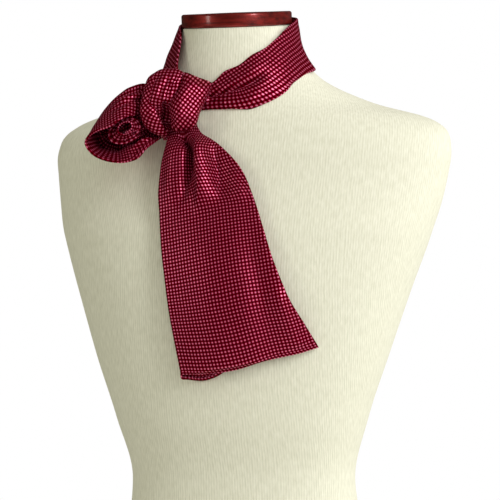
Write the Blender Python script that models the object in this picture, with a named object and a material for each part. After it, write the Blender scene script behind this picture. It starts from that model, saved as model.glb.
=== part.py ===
"""Silk cravat, tied as a half bow round the neck of a limbless dress form.

The form stands on its flat base, faces -Y, and has its origin at the middle of the base. The cravat
is one hemmed strip of silk: it goes once round the neck, and is tied so that one end makes a loop
and the other hangs down the chest. Each stretch that shows is one wall of cloth. Tables are in
millimetres and degrees, and the meshes are in metres.

The bow sits to one side, so its tables are measured in a frame turned SHOW_TURN about the vertical:
across is to the right of somebody who faces the bow, up is the height, and out is towards them.
"""

import math
from collections import namedtuple

import bmesh
import bpy
from mathutils import Vector
from mathutils.bvhtree import BVHTree

MM = 0.001

# The dress form
NECK_HEIGHT = 650.2
NECK_LEAN = 5.8
LEAN_STARTS = 585.0
FORM_SIDES = 44
WIDEST_RING_STEP = 34.0
CAP_RADIUS = 54.5
CAP_THICKNESS = 13.6
CAP_ROUNDING = 2.2
SEAM_GAP = 0.3

# The cloth: its wall, how near a piece's grid points and its resting places come to a neighbour's
# surface, and the steps in which a piece is moved clear of it
SILK_PIECES = ("neck_band", "knot_right", "knot_left", "bow_loop", "inner_curl", "tail")
SILK_WALL = 1.4
CLEARANCE = 0.55
REST_CLEARANCE = 0.85
SHOW_TURN = 21.0
NUDGE = 0.1
FARTHEST_SETTLE = 9.0
SQUARELY_BEHIND = 0.9
SHARP_ANGLE = 50.0

# The tail's turned-under side: the radius of its roll, how much its middle stands off the front,
# and how far it hangs below the hem
FLAP_ROLL = 2.6
FLAP_CROWN = 0.8
FLAP_DROP = 5.0
FLAP_SAG = 1.0

Ring = namedtuple("Ring", "height half_width front back sweep roundness")
FORM_RINGS = [
    Ring(0.0, 166.0, 112.0, 116.0, 0.0, 2.2),
    Ring(40.0, 168.0, 114.0, 118.0, 0.0, 2.2),
    Ring(100.0, 149.0, 111.0, 104.0, 0.0, 2.2),
    Ring(150.0, 124.0, 106.0, 84.0, 0.0, 2.15),
    Ring(181.0, 114.5, 105.0, 73.0, 0.0, 2.1),
    Ring(205.0, 112.5, 106.0, 70.0, 0.0, 2.1),
    Ring(265.0, 127.5, 121.0, 75.0, 0.0, 2.1),
    Ring(325.0, 148.0, 131.0, 84.0, 0.0, 2.1),
    Ring(385.0, 168.0, 135.0, 96.0, 0.0, 2.1),
    Ring(445.0, 189.0, 128.0, 102.0, 0.0, 2.1),
    Ring(475.0, 198.0, 118.0, 102.0, 2.0, 2.05),
    Ring(505.0, 204.5, 108.0, 98.0, 4.0, 2.0),
    Ring(525.0, 207.5, 104.0, 92.0, 7.0, 1.95),
    Ring(540.0, 205.5, 100.0, 87.0, 11.0, 1.9),
    Ring(548.0, 201.0, 99.0, 84.0, 15.0, 1.85),
    Ring(556.0, 190.0, 98.0, 80.0, 19.0, 1.8),
    Ring(562.5, 173.5, 97.0, 76.0, 20.0, 1.8),
    Ring(567.0, 156.0, 96.5, 72.0, 18.0, 1.8),
    Ring(573.0, 134.0, 96.0, 65.0, 14.0, 1.85),
    Ring(581.0, 114.0, 95.0, 55.0, 9.0, 1.9),
    Ring(588.5, 98.0, 94.0, 46.0, 5.0, 1.95),
    Ring(597.0, 84.0, 93.0, 37.0, 2.0, 2.0),
    Ring(609.0, 72.0, 92.0, 29.0, 0.0, 2.0),
    Ring(620.0, 64.0, 91.0, 24.0, 0.0, 2.0),
    Ring(635.0, 56.5, 90.0, 19.5, 0.0, 2.0),
    Ring(NECK_HEIGHT, 53.5, 89.5, 17.5, 0.0, 2.0),
]

# The strip round the neck. Turn is the angle round the neck from the direction that the bow faces,
# lift is how far the strip stands off the neck, and bulge is added between its two edges.
BandRow = namedtuple("BandRow", "turn top bottom lift_top lift_bottom bulge")
BAND_ROWS = [
    BandRow(-42.0, 584.0, 566.0, 3.0, 1.5, 1.0),
    BandRow(-31.0, 587.0, 566.0, 3.5, 1.5, 1.5),
    BandRow(-22.0, 592.0, 566.5, 4.0, 1.5, 2.0),
    BandRow(-12.0, 603.5, 566.5, 3.0, 1.5, 2.5),
    BandRow(0.0, 609.5, 566.0, 2.5, 1.5, 3.0),
    BandRow(14.0, 621.0, 573.0, 2.5, 1.5, 3.5),
    BandRow(27.0, 627.5, 583.0, 2.5, 1.0, 3.5),
    BandRow(38.0, 635.0, 593.5, 3.5, 1.0, 3.5),
    BandRow(57.0, 647.0, 603.5, 5.0, 1.0, 3.5),
    BandRow(85.0, 655.0, 612.0, 6.5, 1.0, 3.0),
    BandRow(125.0, 657.0, 613.0, 6.5, 1.5, 3.5),
    BandRow(165.0, 655.0, 608.0, 6.0, 1.5, 4.0),
    BandRow(205.0, 655.5, 605.0, 5.5, 1.5, 4.5),
    BandRow(240.0, 655.0, 605.0, 4.5, 1.5, 5.0),
    BandRow(264.0, 652.0, 602.0, 3.5, 1.5, 5.5),
    BandRow(280.0, 641.0, 596.0, 4.0, 1.5, 6.0),
    BandRow(292.0, 625.0, 592.0, 7.5, 4.0, 4.0),
    BandRow(302.0, 612.0, 589.0, 12.0, 10.0, 2.0),
    BandRow(309.0, 601.0, 585.0, 15.5, 14.5, 1.0),
    BandRow(316.0, 590.0, 580.0, 17.0, 16.0, 0.5),
]

# A section across a stretch of cloth: its two edges, and how far its middle stands out of them
Row = namedtuple("Row", "left_across left_up left_out right_across right_up right_out arch")
KNOT_RIGHT_ROWS = [
    Row(-58.0, 593.0, 91.0, -45.0, 591.0, 88.0, 1.0),
    Row(-61.5, 598.5, 99.0, -37.0, 589.0, 91.0, 4.0),
    Row(-66.0, 590.0, 104.0, -37.0, 582.5, 91.0, 12.0),
    Row(-73.5, 576.0, 104.0, -40.5, 572.0, 90.5, 18.0),
    Row(-78.0, 566.0, 103.0, -44.0, 562.5, 90.0, 20.0),
    Row(-76.5, 555.0, 101.0, -47.5, 556.0, 90.0, 17.0),
    Row(-76.0, 548.0, 99.0, -52.5, 551.0, 94.0, 9.0),
    Row(-74.5, 546.5, 97.0, -58.0, 549.0, 95.0, 2.0),
]
KNOT_LEFT_ROWS = [
    Row(-84.0, 594.0, 84.0, -68.0, 595.0, 91.0, 1.0),
    Row(-90.5, 601.0, 90.0, -64.0, 600.5, 95.0, 4.0),
    Row(-98.0, 595.0, 92.0, -62.5, 591.0, 96.0, 12.0),
    Row(-101.0, 584.5, 91.0, -66.0, 577.0, 95.0, 18.0),
    Row(-103.5, 573.0, 90.0, -74.0, 567.0, 94.0, 19.0),
    Row(-104.5, 562.0, 90.0, -83.0, 557.0, 94.0, 17.0),
    Row(-102.0, 552.5, 91.0, -82.0, 549.0, 94.0, 12.0),
    Row(-96.5, 545.5, 93.0, -80.0, 543.5, 94.0, 6.0),
    Row(-92.0, 544.0, 90.0, -81.0, 542.5, 91.0, 2.0),
]
TAIL_ROWS = [
    Row(-75.0, 557.0, 83.0, -55.0, 558.0, 84.0, 1.0),
    Row(-76.5, 538.0, 91.0, -48.0, 542.0, 96.0, 3.0),
    Row(-81.0, 517.0, 97.0, -30.0, 530.0, 109.0, 6.0),
    Row(-83.5, 492.0, 101.0, -9.6, 506.5, 120.0, 6.0),
    Row(-83.5, 463.0, 108.0, 2.0, 479.5, 132.0, 5.0),
    Row(-82.0, 430.0, 118.0, 11.5, 449.0, 142.0, 5.0),
    Row(-79.0, 398.0, 124.0, 21.0, 418.5, 147.0, 6.0),
    Row(-74.5, 366.0, 127.0, 35.0, 384.5, 149.0, 8.0),
    Row(-69.0, 338.0, 128.0, 50.5, 358.5, 144.0, 10.0),
    Row(-63.5, 311.0, 127.0, 63.5, 337.0, 137.0, 11.0),
]
FLAP_WIDTHS = [3.0, 3.0, 3.5, 4.5, 6.0, 10.0, 17.0, 26.0, 36.0, 47.0]

# A section of the loop, which is folded lengthwise: from the back of the fold round its far corner
# to the lip that faces out
LoopRow = namedtuple(
    "LoopRow", "back_across back_up back_out far_across far_up far_out near_across near_up near_out arch"
)
LOOP_ROWS = [
    LoopRow(-92.0, 566.0, 78.0, -92.0, 583.0, 77.0, -91.0, 566.0, 79.5, 1.0),
    LoopRow(-102.0, 561.0, 79.0, -103.5, 588.0, 77.0, -103.0, 562.0, 81.0, 2.0),
    LoopRow(-112.0, 557.0, 75.0, -116.5, 585.0, 74.0, -116.0, 559.5, 99.0, 3.0),
    LoopRow(-119.0, 554.0, 70.0, -124.5, 580.5, 69.0, -125.5, 555.5, 107.0, 3.5),
    LoopRow(-127.0, 548.5, 64.0, -133.5, 572.5, 63.0, -136.0, 549.0, 108.0, 3.5),
    LoopRow(-135.0, 545.0, 57.0, -142.5, 562.5, 57.0, -144.5, 543.0, 106.0, 3.0),
    LoopRow(-143.0, 542.5, 51.0, -154.0, 549.5, 51.0, -152.5, 536.5, 102.0, 2.5),
    LoopRow(-147.0, 541.0, 48.0, -159.0, 537.5, 48.0, -156.0, 530.0, 98.0, 2.5),
    LoopRow(-143.0, 542.5, 46.0, -154.0, 529.5, 47.0, -151.0, 523.0, 96.0, 2.5),
    LoopRow(-135.0, 549.0, 47.0, -142.0, 525.0, 48.0, -141.0, 516.5, 97.0, 2.0),
    LoopRow(-126.0, 555.0, 51.0, -128.0, 526.0, 53.0, -127.0, 514.0, 99.0, 2.0),
    LoopRow(-117.0, 559.0, 57.0, -116.0, 530.0, 60.0, -115.5, 515.0, 101.0, 2.0),
    LoopRow(-109.0, 562.0, 63.0, -107.5, 534.0, 66.0, -106.5, 519.0, 102.0, 2.0),
    LoopRow(-102.0, 562.0, 69.0, -100.5, 539.0, 71.0, -99.5, 527.5, 99.0, 1.5),
    LoopRow(-94.0, 565.0, 71.0, -92.0, 544.0, 73.0, -91.5, 534.0, 87.0, 1.0),
    LoopRow(-86.0, 567.0, 72.0, -84.0, 549.0, 73.0, -86.0, 539.0, 78.0, 0.5),
]

# A soft ridge or trough along a stretch, from one place to another. Along is 0 to 1 down the stretch,
# aside is 0 to 1 from its left edge, and a trough has a height below nought. It fades out at both
# ends, the more softly the nearer FOLD_FADE is to 1.
FOLD_FADE = 0.7
Fold = namedtuple("Fold", "along_start along_end aside_start aside_end spread height")
TAIL_FOLDS = [
    Fold(0.06, 0.50, 0.52, 0.20, 6.0, -8.0),
    Fold(0.12, 0.62, 0.68, 0.50, 10.0, 4.5),
    Fold(0.16, 0.50, 0.90, 0.74, 7.0, -3.5),
    Fold(0.45, 1.10, 0.84, 0.62, 10.0, -4.0),
    Fold(0.62, 1.10, 0.30, 0.36, 14.0, 2.0),
]
BAND_FOLDS = [
    Fold(-0.08, 0.26, 0.27, 0.42, 4.5, -4.0),
    Fold(0.24, 0.62, 0.62, 0.50, 5.0, -2.5),
    Fold(0.50, 0.96, 0.34, 0.66, 5.0, -2.5),
]
KNOT_LEFT_FOLDS = [
    Fold(0.10, 0.95, 0.50, 0.62, 3.5, -3.5),
    Fold(0.30, 1.00, 0.95, 0.90, 3.0, 2.5),
]
KNOT_RIGHT_FOLDS = [
    Fold(0.15, 0.90, 0.36, 0.30, 4.0, 1.5),
]
LOOP_FOLDS = [
    Fold(-0.10, 0.32, 0.70, 0.66, 6.0, -2.5),
    Fold(0.66, 1.10, 0.70, 0.74, 6.0, -2.0),
]

# The rolled end in the mouth of the loop: a cone whose small end faces out
CURL_FAR_MIDDLE = (-119.0, 547.5, 78.0)
CURL_NEAR_MIDDLE = (-118.0, 550.5, 102.0)
CURL_FIRST_ANGLE = -55.0
CURL_TURN = 400.0
CURL_STEPS = 12
CURL_FAR_RADII = (14.5, 9.0)
CURL_NEAR_RADII = (7.6, 3.6)
CURL_ROOT_ROWS = [
    Row(-92.0, 551.0, 79.0, -92.0, 555.0, 85.0, 0.0),
    Row(-103.0, 541.5, 78.0, -104.0, 548.0, 88.0, 1.0),
]

# Squares along and across each stretch
BAND_GRID = (50, 7)
KNOT_GRID = (18, 12)
LOOP_GRID = (34, 12)
CURL_GRID = (30, 5)
TAIL_GRID = (28, 20)
FLAP_COLUMNS = 5
ROLL_COLUMNS = 3


def turned(across, up, out):
    """The place in metres of a point measured in the turned frame."""
    angle = math.radians(SHOW_TURN)
    x = across * math.cos(angle) + out * math.sin(angle)
    y = across * math.sin(angle) - out * math.cos(angle)
    return Vector((x, y, up)) * MM


def smooth_row(rows, at):
    """The row at a place from 0 to 1 down a table, on a curve that passes through every row."""
    return type(rows[0])(*(on_curve(column, at) for column in zip(*rows)))


def hermite(first, last, start_slope, end_slope, t):
    """The value at t, from 0 to 1, of the cubic with these ends and slopes."""
    t2, t3 = t * t, t * t * t
    from_ends = first * (2 * t3 - 3 * t2 + 1) + last * (3 * t2 - 2 * t3)
    return from_ends + start_slope * (t3 - 2 * t2 + t) + end_slope * (t3 - t2)


def level_row(rows, key):
    """The row at a value of the first column, on a curve that never goes past two neighbouring rows."""
    keys = [row[0] for row in rows]
    key = min(max(key, keys[0]), keys[-1])
    i = max(k for k in range(len(rows) - 1) if keys[k] <= key)
    step = keys[i + 1] - keys[i]
    t = (key - keys[i]) / step
    values = [key]
    for column in range(1, len(rows[0])):
        slopes = [level_slope(rows, k, column) for k in (i, i + 1)]
        first, last = rows[i][column], rows[i + 1][column]
        values.append(hermite(first, last, slopes[0] * step, slopes[1] * step, t))
    return type(rows[0])(*values)


def level_slope(rows, k, column):
    """The slope of one column at row k: nought at a peak, and else between its neighbours' slopes."""
    if k in (0, len(rows) - 1):
        k = min(max(k, 1), len(rows) - 1)
        return (rows[k][column] - rows[k - 1][column]) / (rows[k][0] - rows[k - 1][0])
    before = (rows[k][column] - rows[k - 1][column]) / (rows[k][0] - rows[k - 1][0])
    after = (rows[k + 1][column] - rows[k][column]) / (rows[k + 1][0] - rows[k][0])
    if before * after <= 0:
        return 0.0
    return 2 * before * after / (before + after)


def signed_power(value, power):
    """The power of a number's size, with its sign kept."""
    return math.copysign(abs(value) ** power, value)


def lean_at(height):
    """How much of the neck's forward lean a ring at this height has, as a slope."""
    share = (height - LEAN_STARTS) / (NECK_HEIGHT - LEAN_STARTS)
    return math.tan(math.radians(NECK_LEAN)) * min(max(share, 0.0), 1.0)


def form_point(height, angle, lift=0.0):
    """A point of the form's surface in metres, its angle counted from +X towards +Y."""
    ring = level_row(FORM_RINGS, height)
    middle = (ring.back - ring.front) / 2
    half_depth = (ring.back + ring.front) / 2
    power = 2 / ring.roundness
    x = ring.half_width * signed_power(math.cos(angle), power)
    y = half_depth * signed_power(math.sin(angle), power)
    size = math.hypot(x, y)
    x, y = x * (1 + lift / size), y * (1 + lift / size)
    y += ring.sweep * (x / ring.half_width) ** 2
    return Vector((x, middle + y, height + lean_at(height) * y)) * MM


def angle_facing(height, direction):
    """The angle for form_point at which a ring is met by a ray from its middle in one direction."""
    ring = level_row(FORM_RINGS, height)
    power = ring.roundness / 2
    across = signed_power(math.cos(direction) / ring.half_width, power)
    deep = signed_power(math.sin(direction) * 2 / (ring.back + ring.front), power)
    return math.atan2(deep, across)


def material(name, colour, roughness):
    """A plain Principled material in one colour."""
    made = bpy.data.materials.new(name)
    made.use_nodes = True
    shader = made.node_tree.nodes["Principled BSDF"]
    shader.inputs["Base Color"].default_value = (*colour, 1.0)
    shader.inputs["Roughness"].default_value = roughness
    shader.inputs["Metallic"].default_value = 0.0
    return made


def object_of(name, points, faces, finish):
    """An object from points in metres and faces, with its outside facing out."""
    mesh = bpy.data.meshes.new(name)
    mesh.from_pydata(points, [], faces)
    made = bpy.data.objects.new(name, mesh)
    bpy.context.scene.collection.objects.link(made)
    shape = bmesh.new()
    shape.from_mesh(mesh)
    bmesh.ops.recalc_face_normals(shape, faces=shape.faces)
    shape.to_mesh(mesh)
    shape.free()
    mesh.materials.append(finish)
    mesh.shade_smooth()
    mesh.set_sharp_from_angle(angle=math.radians(SHARP_ANGLE))
    return made


def ring_heights():
    """The heights of the form's rings: those of the table, with more where it leaves a long way."""
    heights = [FORM_RINGS[0].height]
    for row in FORM_RINGS[1:]:
        steps = math.ceil((row.height - heights[-1]) / WIDEST_RING_STEP)
        start = heights[-1]
        heights += [start + (row.height - start) * k / steps for k in range(1, steps + 1)]
    return heights


def make_form():
    """The padded body of the form, one closed solid from its base to the top of its neck."""
    heights = ring_heights()
    points = [
        form_point(height, 2 * math.pi * side / FORM_SIDES)
        for height in heights
        for side in range(FORM_SIDES)
    ]
    faces = [tuple(range(FORM_SIDES)), tuple(range(len(points) - FORM_SIDES, len(points)))]
    for ring in range(len(heights) - 1):
        for side in range(FORM_SIDES):
            after = (side + 1) % FORM_SIDES
            low, high = ring * FORM_SIDES, (ring + 1) * FORM_SIDES
            faces.append((low + side, low + after, high + after, high + side))
    return object_of("form_body", points, faces, material("cream jersey", (0.76, 0.74, 0.6), 0.9))


def make_cap():
    """The turned wooden disc on the neck, tilted with it."""
    ring = FORM_RINGS[-1]
    middle = Vector((0, (ring.back - ring.front) / 2, ring.height + SEAM_GAP)) * MM
    shape = bmesh.new()
    bmesh.ops.create_cone(
        shape,
        cap_ends=True,
        segments=FORM_SIDES,
        radius1=CAP_RADIUS * MM,
        radius2=CAP_RADIUS * MM,
        depth=CAP_THICKNESS * MM,
    )
    rims = [e for e in shape.edges if abs(e.verts[0].co.z - e.verts[1].co.z) < MM]
    bmesh.ops.bevel(shape, geom=rims, offset=CAP_ROUNDING * MM, segments=2, profile=0.5, affect="EDGES")
    mesh = bpy.data.meshes.new("neck_cap")
    shape.to_mesh(mesh)
    shape.free()
    cap = bpy.data.objects.new("neck_cap", mesh)
    bpy.context.scene.collection.objects.link(cap)
    lean = math.radians(NECK_LEAN)
    half = CAP_THICKNESS / 2 * MM
    cap.location = middle + Vector((0, -math.sin(lean), math.cos(lean))) * half
    cap.rotation_euler = (lean, 0, 0)
    mesh.materials.append(material("varnished mahogany", (0.16, 0.02, 0.015), 0.25))
    mesh.shade_smooth()
    mesh.set_sharp_from_angle(angle=math.radians(SHARP_ANGLE))
    return cap


def fold_height(folds, along, aside, width):
    """How far the folds raise a point of a stretch that is this wide there."""
    height = 0.0
    for fold in folds:
        share = (along - fold.along_start) / (fold.along_end - fold.along_start)
        if 0 < share < 1:
            middle = fold.aside_start + (fold.aside_end - fold.aside_start) * share
            beside = (aside - middle) * width / fold.spread
            height += fold.height * math.sin(math.pi * share) ** FOLD_FADE * math.exp(-beside * beside)
    return height


def band_grid():
    """The strip round the neck, as rows of points from its bottom edge to its top edge."""
    grid = []
    along_steps, aside_steps = BAND_GRID
    first, last = BAND_ROWS[0].turn, BAND_ROWS[-1].turn
    for i in range(along_steps + 1):
        along = i / along_steps
        row = level_row(BAND_ROWS, first + (last - first) * along)
        angle = math.radians(row.turn + SHOW_TURN - 90)
        line = []
        for j in range(aside_steps + 1):
            aside = j / aside_steps
            height = row.bottom + (row.top - row.bottom) * aside
            lift = row.lift_bottom + (row.lift_top - row.lift_bottom) * aside
            lift += row.bulge * math.sin(math.pi * aside)
            lift += fold_height(BAND_FOLDS, along, aside, row.top - row.bottom)
            line.append(form_point(height, angle_facing(height, angle), lift))
        grid.append(line)
    return grid


def edge_points(row):
    """The left and right ends of a section."""
    left = turned(row.left_across, row.left_up, row.left_out)
    return left, turned(row.right_across, row.right_up, row.right_out)


def outward(rows, along):
    """The direction out of the cloth at a section, square to it and to the way the stretch runs."""
    step = 0.5 / (len(rows) - 1)
    before = edge_points(smooth_row(rows, max(along - step, 0.0)))
    after = edge_points(smooth_row(rows, min(along + step, 1.0)))
    left, right = edge_points(smooth_row(rows, along))
    runs = (after[0] + after[1]) - (before[0] + before[1])
    return runs.cross(right - left).normalized()


def stretch_grid(rows, size, folds=(), fullness=2.0):
    """A stretch of cloth from its table of sections, as rows of points."""
    grid = []
    along_steps, aside_steps = size
    for i in range(along_steps + 1):
        along = i / along_steps
        row = smooth_row(rows, along)
        left, right = edge_points(row)
        out = outward(rows, along)
        line = []
        for j in range(aside_steps + 1):
            aside = j / aside_steps
            raised = row.arch * (1 - abs(2 * aside - 1) ** fullness)
            raised += fold_height(folds, along, aside, (right - left).length / MM)
            line.append(left.lerp(right, aside) + out * raised * MM)
        grid.append(line)
    return grid


def loop_grid():
    """The loop, folded lengthwise: each section runs down its back, round its corner and out to its lip."""
    grid = []
    along_steps, aside_steps = LOOP_GRID
    lips = [
        Row(r.far_across, r.far_up, r.far_out, r.near_across, r.near_up, r.near_out, r.arch)
        for r in LOOP_ROWS
    ]
    band = stretch_grid(lips, LOOP_GRID)
    for i in range(along_steps + 1):
        along = i / along_steps
        row = smooth_row(LOOP_ROWS, along)
        out = outward(lips, along)
        far, near = edge_points(smooth_row(lips, along))
        back = turned(row.back_across, row.back_up, row.back_out)
        middle = band[i][aside_steps // 2]
        stops = [back, far, middle, near]
        line = []
        for j in range(aside_steps + 1):
            aside = j / aside_steps
            point = on_curve(stops, aside)
            raised = fold_height(LOOP_FOLDS, along, aside, (near - far).length / MM)
            line.append(point + out * raised * MM)
        grid.append(line)
    return grid


def on_curve(stops, at):
    """The value at a place from 0 to 1 of the smooth curve through a few numbers or points."""
    place = min(max(at, 0.0), 1.0) * (len(stops) - 1)
    i = min(int(place), len(stops) - 2)
    a, b, c, d = (stops[min(max(k, 0), len(stops) - 1)] for k in (i - 1, i, i + 1, i + 2))
    return hermite(b, c, (c - a) / 2, (d - b) / 2, place - i)


def tail_grid():
    """The hanging end: its front from right to left, a narrow roll, and the part turned under."""
    front = stretch_grid(TAIL_ROWS, TAIL_GRID, TAIL_FOLDS)
    grid = []
    for i, line in enumerate(front):
        along = i / (len(front) - 1)
        flap = on_curve(FLAP_WIDTHS, along)
        out = outward(TAIL_ROWS, along)
        aside = (line[3] - line[0]).normalized()
        roll_middle = line[0] - out * FLAP_ROLL * MM
        rolled = []
        for k in range(1, ROLL_COLUMNS):
            angle = math.pi * k / ROLL_COLUMNS
            reach = out * math.cos(angle) - aside * math.sin(angle)
            drop = Vector((0, 0, FLAP_DROP * k / ROLL_COLUMNS * along**6))
            rolled.append(roll_middle + (reach * FLAP_ROLL - drop) * MM)
        under = []
        for k in range(FLAP_COLUMNS + 1):
            share = k / FLAP_COLUMNS
            reach = aside * flap * share - out * (FLAP_ROLL + FLAP_CROWN * math.sin(math.pi * share))
            hang = math.cos(math.pi / 2 * share) + FLAP_SAG * math.sin(math.pi * share)
            reach -= Vector((0, 0, FLAP_DROP * hang * along**6))
            under.append(roll_middle + reach * MM)
        grid.append(list(reversed(line)) + rolled + under)
    return grid


def curl_rows():
    """The sections of the rolled end: two that come out of the knot, then a spiral."""
    rows = list(CURL_ROOT_ROWS)
    for k in range(CURL_STEPS + 1):
        share = k / CURL_STEPS
        angle = math.radians(CURL_FIRST_ANGLE - CURL_TURN * share)
        far = CURL_FAR_RADII[0] + (CURL_FAR_RADII[1] - CURL_FAR_RADII[0]) * share
        near = CURL_NEAR_RADII[0] + (CURL_NEAR_RADII[1] - CURL_NEAR_RADII[0]) * share
        across, up = math.cos(angle), math.sin(angle)
        rows.append(
            Row(
                CURL_FAR_MIDDLE[0] + far * across,
                CURL_FAR_MIDDLE[1] + far * up,
                CURL_FAR_MIDDLE[2],
                CURL_NEAR_MIDDLE[0] + near * across,
                CURL_NEAR_MIDDLE[1] + near * up,
                CURL_NEAR_MIDDLE[2],
                1.5,
            )
        )
    return rows


def cloth_wall(name, grid, finish):
    """A wall of cloth round a grid of points that lie in the middle of it."""
    aside = len(grid[0])
    points = [point for line in grid for point in line]
    faces = []
    for i in range(len(grid) - 1):
        for j in range(aside - 1):
            first = i * aside + j
            faces.append((first, first + 1, first + aside + 1, first + aside))
    made = object_of(name, points, faces, finish)
    wall = made.modifiers.new("Wall", "SOLIDIFY")
    wall.thickness = SILK_WALL * MM
    wall.offset = 0.0
    wall.use_even_offset = True
    return made


def trees_of(objects):
    """The finished surfaces of objects, for measuring how near a point is to them."""
    graph = bpy.context.evaluated_depsgraph_get()
    trees = []
    for obj in objects:
        shape = bmesh.new()
        shape.from_object(obj, graph)
        shape.transform(obj.matrix_world)
        trees.append(BVHTree.FromBMesh(shape))
        shape.free()
    return trees


def too_near(tree, point, reach):
    """Whether a point lies inside a surface, or nearer to it than reach."""
    near, normal, _, distance = tree.find_nearest(point)
    behind = (point - near).dot(normal) < -SQUARELY_BEHIND * distance
    return distance < reach or behind


def kept_off(grid, trees, direction):
    """Moves each point that is too near a surface along one direction until it is clear."""
    reach = (SILK_WALL / 2 + CLEARANCE) * MM
    step = direction * NUDGE * MM
    for line in grid:
        for j, point in enumerate(line):
            moved = 0.0
            while moved < FARTHEST_SETTLE and any(too_near(tree, point, reach) for tree in trees):
                point = point + step
                moved += NUDGE
            line[j] = point
    return grid


def samples(grid):
    """The grid's points, and the middles of its squares and of their sides."""
    found = [point for line in grid for point in line]
    for line in grid:
        found += [(a + b) / 2 for a, b in zip(line, line[1:])]
    for upper, lower in zip(grid, grid[1:]):
        found += [(a + b) / 2 for a, b in zip(upper, lower)]
        for j in range(len(upper) - 1):
            found.append((upper[j] + upper[j + 1] + lower[j] + lower[j + 1]) / 4)
    return found


def settled(grid, trees, direction):
    """Moves a whole grid along one direction until its wall just meets a surface."""
    reach = (SILK_WALL / 2 + REST_CLEARANCE) * MM
    found = samples(grid)
    moved = 0.0
    while moved < FARTHEST_SETTLE:
        ahead = direction * (moved + NUDGE) * MM
        if any(tree.find_nearest(point + ahead)[3] < reach for tree in trees for point in found):
            break
        moved += NUDGE
    return [[point + direction * moved * MM for point in line] for line in grid]


def main():
    for obj in list(bpy.data.objects):
        bpy.data.objects.remove(obj, do_unlink=True)
    finish = {name: material(f"crimson silk {name}", (0.35, 0.01, 0.06), 0.45) for name in SILK_PIECES}
    back = turned(0, 0, -1).normalized()
    front = -back
    up = Vector((0, 0, 1))

    form = make_form()
    cap = make_cap()
    band_points = band_grid()
    body = trees_of([form, cap])
    for line in band_points:
        for j, point in enumerate(line):
            away = Vector((point.x, point.y - form_point(NECK_HEIGHT, 0).y, 0)).normalized()
            line[j] = kept_off([[point]], body, away)[0][0]
    band = cloth_wall("neck_band", band_points, finish["neck_band"])

    grid = stretch_grid(KNOT_LEFT_ROWS, KNOT_GRID, KNOT_LEFT_FOLDS, fullness=3.0)
    grid = settled(kept_off(grid, trees_of([form, band]), front), trees_of([form, band]), back)
    left = cloth_wall("knot_left", grid, finish["knot_left"])

    grid = stretch_grid(KNOT_RIGHT_ROWS, KNOT_GRID, KNOT_RIGHT_FOLDS, fullness=3.0)
    grid = kept_off(grid, trees_of([form, band, left]), front)
    right = cloth_wall("knot_right", grid, finish["knot_right"])

    grid = kept_off(tail_grid(), trees_of([form]), front)
    grid = settled(grid, trees_of([form, band, right, left]), (up + front).normalized())
    tail = cloth_wall("tail", grid, finish["tail"])

    grid = kept_off(loop_grid(), trees_of([form]), front)
    grid = settled(grid, trees_of([form, band, right, left, tail]), front)
    loop = cloth_wall("bow_loop", grid, finish["bow_loop"])

    grid = stretch_grid(curl_rows(), CURL_GRID)
    grid = settled(grid, trees_of([form, band, right, left, tail, loop]), front)
    cloth_wall("inner_curl", grid, finish["inner_curl"])


main()
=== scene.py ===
"""A silk cravat, tied as a half bow on a limbless dress form, with its looks and its studio.

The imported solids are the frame. Every one of them is stood for here by a finer piece of the same form:
thin silk with its folds, a jersey cover, and a turned and varnished cap. Shapes are worked out in
millimetres in the frame of somebody who faces the bow (across to the right, up, and out towards
them), and turned into the form's own frame, in metres, as each mesh is made.
"""

import logging
import math
from dataclasses import dataclass, field
from enum import Enum
from typing import Iterable, Sequence

import bpy
import numpy as np
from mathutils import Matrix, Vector


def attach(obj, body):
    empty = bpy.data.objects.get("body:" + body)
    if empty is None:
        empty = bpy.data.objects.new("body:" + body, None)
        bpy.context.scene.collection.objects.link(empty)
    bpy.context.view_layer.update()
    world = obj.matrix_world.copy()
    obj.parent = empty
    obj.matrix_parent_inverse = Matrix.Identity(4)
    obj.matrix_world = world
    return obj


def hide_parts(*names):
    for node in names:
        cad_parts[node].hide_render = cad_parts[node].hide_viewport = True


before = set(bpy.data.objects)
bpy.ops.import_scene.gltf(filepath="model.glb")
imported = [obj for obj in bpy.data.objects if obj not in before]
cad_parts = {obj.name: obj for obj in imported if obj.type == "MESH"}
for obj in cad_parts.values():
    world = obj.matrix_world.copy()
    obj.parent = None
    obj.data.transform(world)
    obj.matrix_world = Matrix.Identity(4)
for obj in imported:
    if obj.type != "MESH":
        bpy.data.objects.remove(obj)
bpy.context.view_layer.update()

log = logging.getLogger("cravat")

MM = 0.001
SHOW_TURN = 21.0  # degrees that the bow, and so the camera, stand round from the form's front

MATH = "ShaderNodeMath"
VECTOR_MATH = "ShaderNodeVectorMath"
NOISE = "ShaderNodeTexNoise"
MAP_RANGE = "ShaderNodeMapRange"
RAMP = "ShaderNodeValToRGB"
BUMP = "ShaderNodeBump"
BUMP_DEPTH = 0.2 * MM

Colour = tuple[float, float, float, float]
Grid = np.ndarray  # rows of points, (rows, columns, 3), or of places in the cloth, (rows, columns, 2)
Place = tuple[float, float, float]  # across, up and out, in millimetres
Path = tuple[tuple[float, float], ...]


class Held(Enum):
    """The ways that a stretch of the silk is held."""

    DRAPED = "draped"
    HUNG = "hung"
    FOLDED = "folded"
    GATHERED = "gathered"


class Chart(Enum):
    """What a fold's path is measured in."""

    FACE = "across and up, in millimetres, as seen from the bow's front"
    SHARE = "shares of the stretch, aside and along it"


class Edge(Enum):
    """The edges of a stretch of cloth that are turned under."""

    LEFT = "left"
    RIGHT = "right"
    HEM = "hem"


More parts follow.
